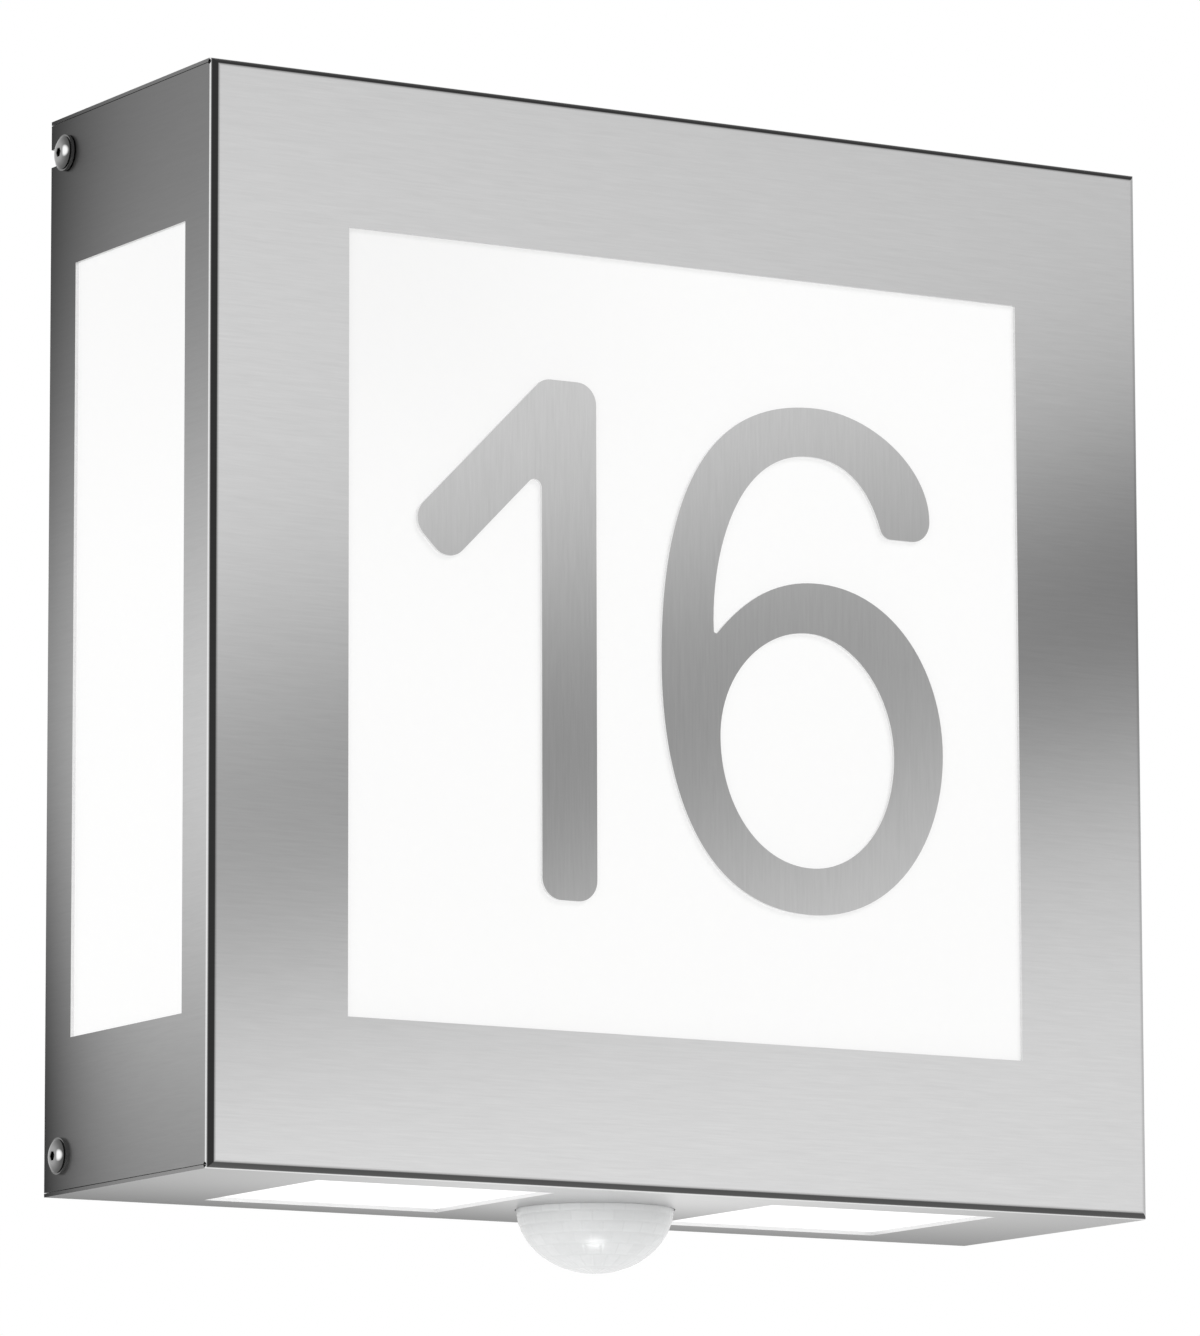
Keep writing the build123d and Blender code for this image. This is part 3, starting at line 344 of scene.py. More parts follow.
class BrushedGrain(SharedEffect):
    """Fine streaks left by the sanding belt, drawn out along the grain."""

    name = "brushed_grain"
    inputs = {
        "Position": (VECTOR, ORIGIN),
        "Streaks": (VECTOR, Grain.LEVEL.value),
        "Spread": (NUMBER, 0.1),
    }
    outputs = {"Tone": NUMBER, "Height": NUMBER}
    fine_scale = 1.0
    coarse_scale = 0.45
    detail = 3.0
    roughness = 0.62

    def wire(self, graph: Graph, given: Sockets) -> Sockets:
        """Join a fine and a coarse streak noise.

        Args:
            graph: Graph of the group's own tree.
            given: The group's inputs by name.

        Returns:
            The streaks' tone and height.
        """
        stretched = graph.vector("MULTIPLY", given["Position"], given["Streaks"]).outputs["Vector"]
        fine = graph.noise(stretched, self.fine_scale, self.detail, self.roughness)
        coarse = graph.noise(stretched, self.coarse_scale, self.detail, self.roughness)
        both = graph.math("ADD", fine, coarse)
        centred = graph.math("SUBTRACT", both, 1.0)
        return {"Tone": graph.math("MULTIPLY_ADD", centred, given["Spread"], 1.0), "Height": both}


class ReflectionBandGroup(SharedEffect):
    """Broad painted dark reflection on a metal face, as a slightly tilted level band."""

    name = "painted_reflection_band"
    inputs = {
        "Position": (VECTOR, ORIGIN),
        "Level": (NUMBER, 0.0),
        "Slope": (NUMBER, 0.0),
        "Spread": (NUMBER, 0.06),
        "Depth": (NUMBER, 0.5),
        "Depth Slope": (NUMBER, 0.0),
    }
    outputs = {"Tone": NUMBER}

    def wire(self, graph: Graph, given: Sockets) -> Sockets:
        """Work out one bell curve over the height.

        Args:
            graph: Graph of the group's own tree.
            given: The group's inputs by name.

        Returns:
            The band's tone.
        """
        place = graph.axes(given["Position"])
        middle = graph.math("MULTIPLY_ADD", place["X"], given["Slope"], given["Level"])
        offset = graph.math("DIVIDE", graph.math("SUBTRACT", place["Z"], middle), given["Spread"])
        falloff = graph.math("MULTIPLY", graph.math("MULTIPLY", offset, offset), -1.0)
        bell = graph.math("EXPONENT", falloff)
        depth = graph.math("MULTIPLY_ADD", place["X"], given["Depth Slope"], given["Depth"])
        return {"Tone": graph.math("SUBTRACT", 1.0, graph.math("MULTIPLY", bell, depth))}


class LightShadeMask(SharedEffect):
    """Round soft mask for light and shade painted on a surface, with its own size along each axis."""

    name = "painted_light_and_shade_patch"
    inputs = {
        "Position": (VECTOR, ORIGIN),
        "Centre": (VECTOR, ORIGIN),
        "Size": (VECTOR, (0.1, 0.1, 0.1)),
    }
    outputs = {"Mask": NUMBER}

    def wire(self, graph: Graph, given: Sockets) -> Sockets:
        """Work out a bell curve around the centre.

        Args:
            graph: Graph of the group's own tree.
            given: The group's inputs by name.

        Returns:
            The patch's mask, 1 at its centre.
        """
        offset = graph.vector("SUBTRACT", given["Position"], given["Centre"]).outputs["Vector"]
        shares = graph.vector("DIVIDE", offset, given["Size"]).outputs["Vector"]
        square = graph.vector("DOT_PRODUCT", shares, shares).outputs["Value"]
        return {"Mask": graph.math("EXPONENT", graph.math("MULTIPLY", square, -1.0))}


class Blotches(SharedEffect):
    """Uneven tone and fine texture of a cast, moulded, coated or rolled surface."""

    name = "surface_blotches"
    inputs = {
        "Position": (VECTOR, ORIGIN),
        "Patch": (NUMBER, 60.0),
        "Speck": (NUMBER, 900.0),
        "Spread": (NUMBER, 0.08),
    }
    outputs = {"Tone": NUMBER, "Height": NUMBER}
    detail = 2.0

    def wire(self, graph: Graph, given: Sockets) -> Sockets:
        """Join broad patches and fine specks.

        Args:
            graph: Graph of the group's own tree.
            given: The group's inputs by name.

        Returns:
            The surface's tone and the specks' height.
        """
        patch = graph.noise(given["Position"], given["Patch"], self.detail)
        speck = graph.noise(given["Position"], given["Speck"], self.detail)
        centred = graph.math("SUBTRACT", graph.math("ADD", patch, speck), 1.0)
        return {"Tone": graph.math("MULTIPLY_ADD", centred, given["Spread"], 1.0), "Height": speck}


class Spangle(SharedEffect):
    """Crystal flakes of hot-dip zinc."""

    name = "zinc_spangle"
    inputs = {
        "Position": (VECTOR, ORIGIN),
        "Flakes": (NUMBER, 120.0),
        "Spread": (NUMBER, 0.2),
    }
    outputs = {"Tone": NUMBER}

    def wire(self, graph: Graph, given: Sockets) -> Sockets:
        """Give each flake its own tone.

        Args:
            graph: Graph of the group's own tree.
            given: The group's inputs by name.

        Returns:
            The flakes' tone.
        """
        cells = graph.node("ShaderNodeTexVoronoi")
        graph.feed(cells.inputs["Vector"], given["Position"])
        graph.feed(cells.inputs["Scale"], given["Flakes"])
        shade = graph.node("ShaderNodeSeparateColor")
        graph.feed(shade.inputs[0], cells.outputs["Color"])
        centred = graph.math("SUBTRACT", shade.outputs[0], 0.5)
        return {"Tone": graph.math("MULTIPLY_ADD", centred, given["Spread"], 1.0)}


class BendReflection(SharedEffect):
    """Painted highlight and painted dark reflection along a bend, and the front face, told from how far a
    face turns to the front.
    """

    name = "painted_bend_reflections"
    inputs = {"Normal": (VECTOR, ORIGIN)}
    outputs = {"Bright": NUMBER, "Dark": NUMBER, "Front": NUMBER}
    stops = {
        "Bright": ((0.02, 0.0), (0.10, 1.0), (0.28, 1.0), (0.40, 0.0)),
        "Dark": ((0.32, 0.0), (0.50, 1.0), (0.94, 1.0), (0.9995, 0.0)),
        "Front": ((0.60, 0.0), (0.80, 1.0)),
    }

    def wire(self, graph: Graph, given: Sockets) -> Sockets:
        """Ramp the front share of the normal.

        Args:
            graph: Graph of the group's own tree.
            given: The group's inputs by name.

        Returns:
            The masks of the painted highlight line, the painted dark reflection line and the front.
        """
        share = graph.math("ABSOLUTE", graph.axes(given["Normal"])["Y"])
        return {label: graph.ramp(share, stops) for label, stops in self.stops.items()}


class TilePattern(SharedEffect):
    """Rows of tiles with fine joints, such as the lenses of a dome or the copper lands of a board."""

    name = "tile_pattern"
    inputs = {
        "Cells": (VECTOR, ORIGIN),
        "Width": (NUMBER, 1.0),
        "Joint": (NUMBER, 0.05),
        "Joint Depth": (NUMBER, 0.1),
        "Spread": (NUMBER, 0.05),
    }
    outputs = {"Tone": NUMBER}
    row_shift = 0.5
    joint_softness = 0.6

    def wire(self, graph: Graph, given: Sockets) -> Sockets:
        """Give each tile its own tone and darken the joints.

        Args:
            graph: Graph of the group's own tree.
            given: The group's inputs by name.

        Returns:
            The tiles' tone.
        """
        tiles = graph.node("ShaderNodeTexBrick", offset=self.row_shift, offset_frequency=2)
        settings = {
            "Vector": given["Cells"], "Color1": (0.0, 0.0, 0.0, 1.0), "Color2": (1.0, 1.0, 1.0, 1.0),
            "Mortar": (0.5, 0.5, 0.5, 1.0), "Scale": 1.0, "Mortar Size": given["Joint"],
            "Mortar Smooth": self.joint_softness, "Brick Width": given["Width"], "Row Height": 1.0,
        }
        for label, value in settings.items():
            graph.feed(tiles.inputs[label], value)
        shade = graph.node("ShaderNodeSeparateColor")
        graph.feed(shade.inputs[0], tiles.outputs["Color"])
        centred = graph.math("SUBTRACT", shade.outputs[0], 0.5)
        tone = graph.math("MULTIPLY_ADD", centred, given["Spread"], 1.0)
        sunk = graph.math("MULTIPLY", tiles.outputs["Fac"], given["Joint Depth"])
        return {"Tone": graph.math("SUBTRACT", tone, sunk)}


# --- Finishes ----------------------------------------------------------------------------------------


@dataclass(frozen=True)
class Surface:
    """A material in the making, with the sockets that tell where its surface lies and which way it faces."""

    graph: Graph
    shader: Node
    output: Node
    position: Socket
    normal: Socket

    def feed(self, label: str, value: Any) -> None:
        """Feed one of the shader's inputs with a socket or a plain value."""
        self.graph.feed(self.shader.inputs[label], value)


@dataclass(frozen=True)
class Finish:
    """Values of one finish. Its material is built the first time that it is asked for."""

    name: str
    colour: Triple = (0.8, 0.8, 0.8)
    roughness: float = 0.5
    metallic: float = 0.0
    specular: float = 0.5
    bump: float = 0.0
    bump_depth: float = 0.02 * MM

    def material(self) -> bpy.types.Material:
        """Find the finish's material.

        Returns:
            The material.
        """
        if self.name in bpy.data.materials:
            return bpy.data.materials[self.name]
        made = bpy.data.materials.new(self.name)
        made.use_nodes = True
        made.node_tree.nodes.clear()
        graph = Graph(made.node_tree)
        shader = graph.node("ShaderNodeBsdfPrincipled")
        output = graph.node("ShaderNodeOutputMaterial")
        graph.feed(output.inputs["Surface"], shader.outputs[0])
        place = graph.node("ShaderNodeTexCoord")
        surface = Surface(graph, shader, output, place.outputs["Object"], place.outputs["Normal"])
        surface.feed("Base Color", (*self.colour, 1.0))
        surface.feed("Roughness", self.roughness)
        surface.feed("Metallic", self.metallic)
        surface.feed("Specular IOR Level", self.specular)
        self.dress(surface)
        return made

    def dress(self, surface: Surface) -> None:
        """Feed the shader with what changes over the surface.

        Args:
            surface: The surface to dress.
        """
        raise NotImplementedError

    def emboss(self, surface: Surface, height: Socket) -> None:
        """Add the finish's fine relief.

        Args:
            surface: The surface to dress.
            height: Socket with the height, from 0 to 1.
        """
        if self.bump > 0:
            relief = surface.graph.node("ShaderNodeBump")
            settings = {"Strength": self.bump, "Distance": self.bump_depth, "Height": height}
            for label, value in settings.items():
                surface.graph.feed(relief.inputs[label], value)
            surface.feed("Normal", relief.outputs[0])


@dataclass(frozen=True)
class Moulded(Finish):
    """Moulded plastic, rubber, foam, paper or powder coat."""

    roughness: float = 0.42
    bump: float = 0.25
    spread: float = 0.05
    patch: float = 60.0
    speck: float = 1400.0

    def dress(self, surface: Surface) -> None:
        """Vary tone and gloss a little.

        Args:
            surface: The surface to dress.
        """
        graph = surface.graph
        spots = Blotches().place(
            graph, Position=surface.position, Patch=self.patch, Speck=self.speck, Spread=self.spread,
        )
        surface.feed("Base Color", graph.tint(spots["Tone"], self.colour))
        surface.feed("Roughness", graph.math("MULTIPLY", spots["Tone"], self.roughness))
        self.emboss(surface, spots["Height"])


@dataclass(frozen=True)
class SheetMetal(Finish):
    """Bright metal with a grain or flakes."""

    metallic: float = 1.0
    roughness: float = 0.34
    bump: float = 0.15
    grain: Grain = Grain.ROLLED
    spread: float = 0.12
    flakes: float = 0.0
    flake_spread: float = 0.22

    def dress(self, surface: Surface) -> None:
        """Streak the metal, and flake it where it is hot-dip zinc.

        Args:
            surface: The surface to dress.
        """
        graph = surface.graph
        streaks = self.streaks(surface, self.grain)
        tone = streaks["Tone"]
        if self.flakes > 0:
            cells = Spangle().place(
                graph, Position=surface.position, Flakes=self.flakes, Spread=self.flake_spread,
            )
            tone = graph.math("MULTIPLY", tone, cells["Tone"])
        surface.feed("Base Color", graph.tint(tone, self.colour))
        surface.feed("Roughness", graph.math("MULTIPLY", tone, self.roughness))
        self.emboss(surface, streaks["Height"])

    def streaks(self, surface: Surface, grain: Grain) -> Sockets:
        """Place the grain that runs one way."""
        place = surface.position
        return BrushedGrain().place(surface.graph, Position=place, Streaks=grain.value, Spread=self.spread)


@dataclass(frozen=True)
class PaintedReflectionBand:
    """Place and strength of a soft painted dark reflection band across the front."""

    level: float = -16 * MM
    slope: float = 0.29
    spread: float = 66 * MM
    depth: float = 0.56
    depth_slope: float = 0.54

    def tone(self, surface: Surface) -> Socket:
        """Work out the band's tone.

        Args:
            surface: The surface to dress.

        Returns:
            The socket with the tone.
        """
        # Painted dark reflection band, set by position.
        made = ReflectionBandGroup().place(
            surface.graph, Position=surface.position, Level=self.level, Slope=self.slope,
            Spread=self.spread, Depth=self.depth, Depth_Slope=self.depth_slope,
        )
        return made["Tone"]


@dataclass(frozen=True)
class LightShadePatch:
    """Place and size of a soft mask for painted light and shade."""

    centre: Triple
    size: Triple

    def mask(self, surface: Surface) -> Socket:
        """Work out the patch's mask.

        Args:
            surface: The surface to dress.

        Returns:
            The socket with the mask, 1 at the centre.
        """
        made = LightShadeMask().place(
            surface.graph, Position=surface.position, Centre=self.centre, Size=self.size,
        )
        return made["Mask"]


@dataclass(frozen=True)
class PaintedFaceLighting:
    """Painted reflection, light and shade tones of the cover's faces; a fall or lean is a change per metre.
    """

    # Front: painted reflection tone, falling and leaning across the face.
    front: float = 0.633
    front_fall: float = -0.44
    front_lean: float = -0.21
    # Sides: painted light patch, with painted shade towards the wall that a painted light patch eases.
    side: float = 0.177
    side_gain: float = 0.398
    side_glow: LightShadePatch = LightShadePatch((0.0, 0.0, -37 * MM), (10.0, 10.0, 98 * MM))
    wall_dim: float = 0.24
    wall_corner: float = 0.80
    wall_turn: float = 3.0
    painted_wall_light: float = 0.49
    relief: LightShadePatch = LightShadePatch((0.0, 0.0, 13 * MM), (10.0, 10.0, 110 * MM))
    # Top and bottom: painted light patch, with painted shade towards the wall.
    under: float = 0.37
    under_gain: float = 0.44
    under_glow: LightShadePatch = LightShadePatch((-12 * MM, -72 * MM, -150 * MM), (105 * MM, 62 * MM, 60 * MM))
    under_dim: float = 0.88
    under_lean: float = -0.8
    under_turn: float = 1.5
    top_dim: float = 0.45
    grazing: float = 0.80
    # Painted highlight and painted dark reflections along the bends.
    painted_bend_highlight: float = 0.80
    dark_bend_reflection: float = 0.032
    dark_under_bend_reflection: float = 0.070
    bend_right: float = 0.25
    # Painted light from the panes on the cut edges round the windows.
    painted_pane_light: float = 0.82


@dataclass(frozen=True)
class CoverSteel(SheetMetal):
    """Brushed stainless steel of the folded cover, with painted reflections, light and shade on its faces.

    The shares are how much of a face's direction lies along an axis, and tell flanges, bends and cut edges
    apart.
    """

    bump: float = 0.08
    roughness: float = 0.30
    band: PaintedReflectionBand = PaintedReflectionBand()
    tones: PaintedFaceLighting = PaintedFaceLighting()
    front_edge: float = 95 * MM
    half_width: float = 150 * MM
    sheet: float = 1.7 * MM
    window_reach: float = 142 * MM
    window_rear: float = 8 * MM
    flange_share: float = 0.5
    grain_share: float = 0.7
    turn_share: float = 0.02
    edge_share: float = 0.3

    def dress(self, surface: Surface) -> None:
        """Give each face its painted reflection, light and shade tone and its grain, with a painted highlight
        and dark reflection along the bends.

        Args:
            surface: The surface to dress.
        """
        graph, tones = surface.graph, self.tones
        place = graph.axes(surface.position)
        facing = graph.axes(surface.normal)
        level_face = graph.math("ABSOLUTE", facing["Z"])
        depth = graph.math("DIVIDE", graph.math("ADD", place["Y"], self.front_edge), self.front_edge)
        flat = graph.math("GREATER_THAN", level_face, self.flange_share)
        flange = graph.blend(flat, self.side_tone(surface, depth), self.under_tone(surface, place, depth))
        # Masks of the painted bend highlight, the painted dark bend reflection and the front.
        lines = BendReflection().place(graph, Normal=surface.normal)
        tone = graph.blend(lines["Front"], flange, self.front_tone(surface, place))
        tone = graph.blend(lines["Bright"], tone, tones.painted_bend_highlight)
        downward = graph.math("LESS_THAN", facing["Z"], -self.turn_share)
        rightward = graph.math("GREATER_THAN", facing["X"], self.turn_share)
        dark = graph.blend(downward, tones.dark_bend_reflection, tones.dark_under_bend_reflection)
        dark_share = graph.math("MULTIPLY", lines["Dark"], graph.blend(rightward, 1.0, tones.bend_right))
        tone = graph.blend(dark_share, tone, dark)
        # Painted light from the panes on the windows' cut edges.
        tone = graph.blend(self.window_edge(graph, place, facing), tone, tones.painted_pane_light)
        along = self.streaks(surface, Grain.LEVEL)
        deep = self.streaks(surface, Grain.CROSS)
        turn = graph.math("GREATER_THAN", level_face, self.grain_share)
        streak = graph.blend(turn, along["Tone"], deep["Tone"])
        surface.feed("Base Color", graph.tint(graph.math("MULTIPLY", tone, streak), self.colour))
        surface.feed("Roughness", graph.math("MULTIPLY", streak, self.roughness))
        surface.feed("Specular Tint", (tones.grazing, tones.grazing, tones.grazing, 1.0))
        self.emboss(surface, graph.blend(turn, along["Height"], deep["Height"]))

    def front_tone(self, surface: Surface, place: Sockets) -> Socket:
        """Work out the painted reflection tone over the front face.

        Args:
            surface: The surface to dress.
            place: Its place along X, Y and Z.

        Returns:
            The socket with the tone.
        """
        graph, tones = surface.graph, self.tones
        # Painted reflection: a tone that falls and leans across the front, times a painted dark band.
        plain = graph.math("MULTIPLY_ADD", place["Z"], tones.front_fall, tones.front)
        plain = graph.math("MULTIPLY_ADD", place["X"], tones.front_lean, plain)
        return graph.math("MULTIPLY", plain, self.band.tone(surface))

    def side_tone(self, surface: Surface, depth: Socket) -> Socket:
        """Work out the painted light and shade over the side flanges, whose painted shade deepens towards the
        wall.

        Args:
            surface: The surface to dress.
            depth: Way from the front, 0, to the wall, 1.

        Returns:
            The socket with the tone.
        """
        graph, tones = surface.graph, self.tones
        # Painted light patch on the side, and painted shade towards the wall that another painted light patch
        # eases.
        lit = graph.math("MULTIPLY_ADD", tones.side_glow.mask(surface), tones.side_gain, tones.side)
        corner = graph.math("MULTIPLY", graph.math("POWER", depth, tones.wall_turn), tones.wall_corner)
        dim = graph.math("MULTIPLY_ADD", depth, tones.wall_dim, corner)
        relief = graph.math("MULTIPLY_ADD", tones.relief.mask(surface), -tones.painted_wall_light, 1.0)
        return graph.math("MULTIPLY", lit, graph.math("SUBTRACT", 1.0, graph.math("MULTIPLY", dim, relief)))

    def under_tone(self, surface: Surface, place: Sockets, depth: Socket) -> Socket:
        """Work out the painted light and shade over the top and bottom flanges, whose painted shade deepens
        towards the wall.

        Args:
            surface: The surface to dress.
            place: Its place along X, Y and Z.
            depth: Way from the front, 0, to the wall, 1.

        Returns:
            The socket with the tone.
        """
        graph, tones = surface.graph, self.tones
        # Painted light patch on the flange, and painted shade towards the wall.
        lit = graph.math("MULTIPLY_ADD", tones.under_glow.mask(surface), tones.under_gain, tones.under)
        dim = graph.math("MULTIPLY_ADD", place["X"], tones.under_lean, tones.under_dim)
        dim = graph.blend(graph.math("GREATER_THAN", place["Z"], 0.0), dim, tones.top_dim)
        fall = graph.math("POWER", depth, tones.under_turn)
        return graph.math("MULTIPLY", lit, graph.math("SUBTRACT", 1.0, graph.math("MULTIPLY", dim, fall)))

    def window_edge(self, graph: Graph, place: Sockets, facing: Sockets) -> Socket:
        """Find the cut edges round the windows, which get painted light from the panes.

        Args:
            graph: Graph of the material.
            place: Place along X, Y and Z.
            facing: Share of the direction along X, Y and Z.

        Returns:
            The socket with the mask.
        """
        reach = {axis: graph.math("ABSOLUTE", place[axis]) for axis in "XYZ"}
        found: Any = 0.0
        for axis, limit in (("X", self.half_width), ("Y", self.front_edge), ("Z", self.half_width)):
            share = graph.math("ABSOLUTE", facing[axis])
            tests = [
                graph.math("GREATER_THAN", reach[axis], limit - self.sheet),
                graph.math("LESS_THAN", share, self.edge_share),
            ]
            for other in "XZ":
                if other != axis:
                    tests.append(graph.math("LESS_THAN", reach[other], self.window_reach))
            if axis != "Y":
                tests.append(graph.math("GREATER_THAN", reach["Y"], self.window_rear))
                tests.append(graph.math("LESS_THAN", reach["Y"], self.front_edge - self.window_rear))
            mask = tests[0]
            for test in tests[1:]:
                mask = graph.math("MULTIPLY", mask, test)
            found = graph.math("ADD", found, mask, clamp=True)
        return found


@dataclass(frozen=True)
class NumeralSteel(SheetMetal):
    """Brushed stainless steel of the numerals, with a painted dark reflection band on the face and painted
    light on the cut edges.
    """

    grain: Grain = Grain.UPRIGHT
    spread: float = 0.14
    bump: float = 0.08
    roughness: float = 0.30
    band: PaintedReflectionBand = PaintedReflectionBand(level=-18 * MM, slope=0.33, depth=0.50, depth_slope=-0.9)
    face_tone: float = 0.615
    painted_edge_light: float = 0.85

    def dress(self, surface: Surface) -> None:
        """Paint a soft dark reflection band across the face and paint light on the cut edge.

        Args:
            surface: The surface to dress.
        """
        graph = surface.graph
        streaks = self.streaks(surface, self.grain)
        # Painted dark reflection band across the face.
        face = graph.math("MULTIPLY", self.band.tone(surface), self.face_tone)
        face = graph.math("MULTIPLY", face, streaks["Tone"])
        lines = BendReflection().place(graph, Normal=surface.normal)
        # Painted light on the cut edges.
        tone = graph.blend(lines["Front"], self.painted_edge_light, face)
        surface.feed("Base Color", graph.tint(tone, self.colour))
        surface.feed("Roughness", graph.math("MULTIPLY", streaks["Tone"], self.roughness))
        self.emboss(surface, streaks["Height"])


@dataclass(frozen=True)
class OpalPane(Finish):
    """Opal acrylic, lit from behind."""

    colour: Triple = (0.46, 0.46, 0.458)
    roughness: float = 0.35
    spread: float = 0.012
    patch: float = 14.0
    speck: float = 300.0
    glow: float = 0.510
    side_glow: float = 0.05
    under_glow: float = 0.03
    corner_dim: float = 0.055
    corner: LightShadePatch = LightShadePatch((-105 * MM, -90 * MM, 105 * MM), (75 * MM, 200 * MM, 60 * MM))

    def dress(self, surface: Surface) -> None:
        """Let the glow fall off towards one corner, and even it out from face to face.

        Args:
            surface: The surface to dress.
        """
        graph = surface.graph
        spots = Blotches().place(
            graph, Position=surface.position, Patch=self.patch, Speck=self.speck, Spread=self.spread,
        )
        facing = graph.axes(surface.normal)
        glow = graph.math("MULTIPLY_ADD", self.corner.mask(surface), -self.corner_dim, self.glow)
        for axis, gain in (("X", self.side_glow), ("Z", self.under_glow)):
            glow = graph.math("MULTIPLY_ADD", graph.math("ABSOLUTE", facing[axis]), gain, glow)
        glow = graph.math("MULTIPLY", glow, spots["Tone"])
        surface.feed("Base Color", graph.tint(spots["Tone"], self.colour))
        surface.feed("Emission Color", graph.tint(glow, (1.0, 1.0, 1.0)))
        surface.feed("Emission Strength", 1.0)


@dataclass(frozen=True)
class TurnedSteel(SheetMetal):
    """Polished steel of the side screws, with painted dark and light reflection rings and a painted highlight
    on the rounded heads.
    """

    roughness: float = 0.16
    spread: float = 0.06
    bump: float = 0.05
    # Painted reflection tones, by how far the surface faces outward.
    rings: tuple[Row, ...] = (
        (0.00, 0.05), (0.30, 0.05), (0.55, 0.30), (0.78, 0.06), (0.86, 0.11), (0.93, 0.20), (0.985, 0.30),
    )
    # Painted highlight where the dome turns to the front.
    highlight_facing: Triple = (0.926, -0.378, 0.0)
    highlight_edge: tuple[Row, ...] = ((0.978, 0.0), (0.994, 1.0))
    highlight_tone: float = 0.97

    def dress(self, surface: Surface) -> None:
        """Paint dark and light reflection rings round the head, and a painted highlight where its dome turns
        to the front.

        Args:
            surface: The surface to dress.
        """
        graph = surface.graph
        facing = graph.axes(surface.normal)
        outward = graph.math("ABSOLUTE", facing["X"])
        streaks = self.streaks(surface, self.grain)
        tone = graph.math("MULTIPLY", graph.ramp(outward, self.rings), streaks["Tone"])
        mirrored = graph.joined(X=outward, Y=facing["Y"], Z=facing["Z"])
        toward = graph.vector("DOT_PRODUCT", mirrored, self.highlight_facing).outputs["Value"]
        tone = graph.blend(graph.ramp(toward, self.highlight_edge), tone, self.highlight_tone)
        surface.feed("Base Color", graph.tint(tone, self.colour))
        self.emboss(surface, streaks["Height"])


@dataclass(frozen=True)
class LensTiers:
    """How the sensor's dome is parted into tiers of small lenses."""

    centre: Triple = (0.0, -42.5 * MM, -149 * MM)
    height: float = 2.9 * MM
    facets: int = 22


TIERS = LensTiers()


@dataclass(frozen=True)
class LensPlastic(Finish):
    """Milky plastic of the sensor's lens dome, with painted shade under the front edge and at the tip."""

    colour: Triple = (0.835, 0.845, 0.85)
    roughness: float = 0.21
    spread: float = 0.03
    patch: float = 90.0
    speck: float = 700.0
    # Painted shade under the front edge and at the dome's tip.
    rim_shade: float = 0.15
    rim: LightShadePatch = LightShadePatch((0.0, -66 * MM, -150 * MM), (22 * MM, 14 * MM, 8 * MM))
    tip_shade: float = 0.15
    tip: LightShadePatch = LightShadePatch((0.0, -50 * MM, -168 * MM), (30 * MM, 30 * MM, 8 * MM))
    joint: float = 0.06
    joint_depth: float = 0.035
    lens_spread: float = 0.05
    scatter: float = 0.15
    scatter_reach: float = 1.5 * MM

    def dress(self, surface: Surface) -> None:
        """Paint shade on the part under the front edge and on the tip, tile the dome and scatter light
        inside.

        Args:
            surface: The surface to dress.
        """
        graph = surface.graph
        place = graph.axes(graph.vector("SUBTRACT", surface.position, TIERS.centre).outputs["Vector"])
        turn = graph.math("ARCTAN2", place["X"], graph.math("MULTIPLY", place["Y"], -1.0))
        column = graph.math("MULTIPLY", turn, TIERS.facets / (2 * math.pi))
        tier = graph.math("DIVIDE", place["Z"], -TIERS.height)
        lenses = TilePattern().place(
            graph, Cells=graph.joined(X=column, Y=tier), Joint=self.joint, Joint_Depth=self.joint_depth,
            Spread=self.lens_spread,
        )
        spots = Blotches().place(
            graph, Position=surface.position, Patch=self.patch, Speck=self.speck, Spread=self.spread,
        )
        # Painted shade near the rim and at the tip.
        tone = graph.math("MULTIPLY_ADD", self.rim.mask(surface), -self.rim_shade, 1.0)
        tone = graph.math("MULTIPLY_ADD", self.tip.mask(surface), -self.tip_shade, tone)
        tone = graph.math("MULTIPLY", tone, spots["Tone"])
        tone = graph.math("MULTIPLY", tone, lenses["Tone"])
        surface.feed("Base Color", graph.tint(tone, self.colour))
        surface.feed("Subsurface Weight", self.scatter)
        surface.feed("Subsurface Radius", (self.scatter_reach, self.scatter_reach, self.scatter_reach))
        surface.feed("Subsurface Scale", 1.0)


@dataclass(frozen=True)
class Board(Finish):
    """Circuit board whose copper lands show through its solder mask."""

    roughness: float = 0.35
    spread: float = 0.03
    land_length: float = 22 * MM
    land_width: float = 6.83 * MM
    gap: float = 0.13 * MM
    gap_depth: float = 0.12

    def dress(self, surface: Surface) -> None:
        """Part the lands by fine darker gaps.

        Args:
            surface: The surface to dress.
        """
        graph = surface.graph
        place = graph.axes(surface.position)
        column = graph.math("DIVIDE", place["X"], self.land_width)
        row = graph.math("DIVIDE", graph.math("ADD", place["Y"], place["Z"]), self.land_width)
        lands = TilePattern().place(
            graph, Cells=graph.joined(X=column, Y=row), Width=self.land_length / self.land_width,
            Joint=self.gap / self.land_width, Joint_Depth=self.gap_depth, Spread=self.spread,
        )
        surface.feed("Base Color", graph.tint(lands["Tone"], self.colour))
        surface.feed("Roughness", graph.math("MULTIPLY", lands["Tone"], self.roughness))


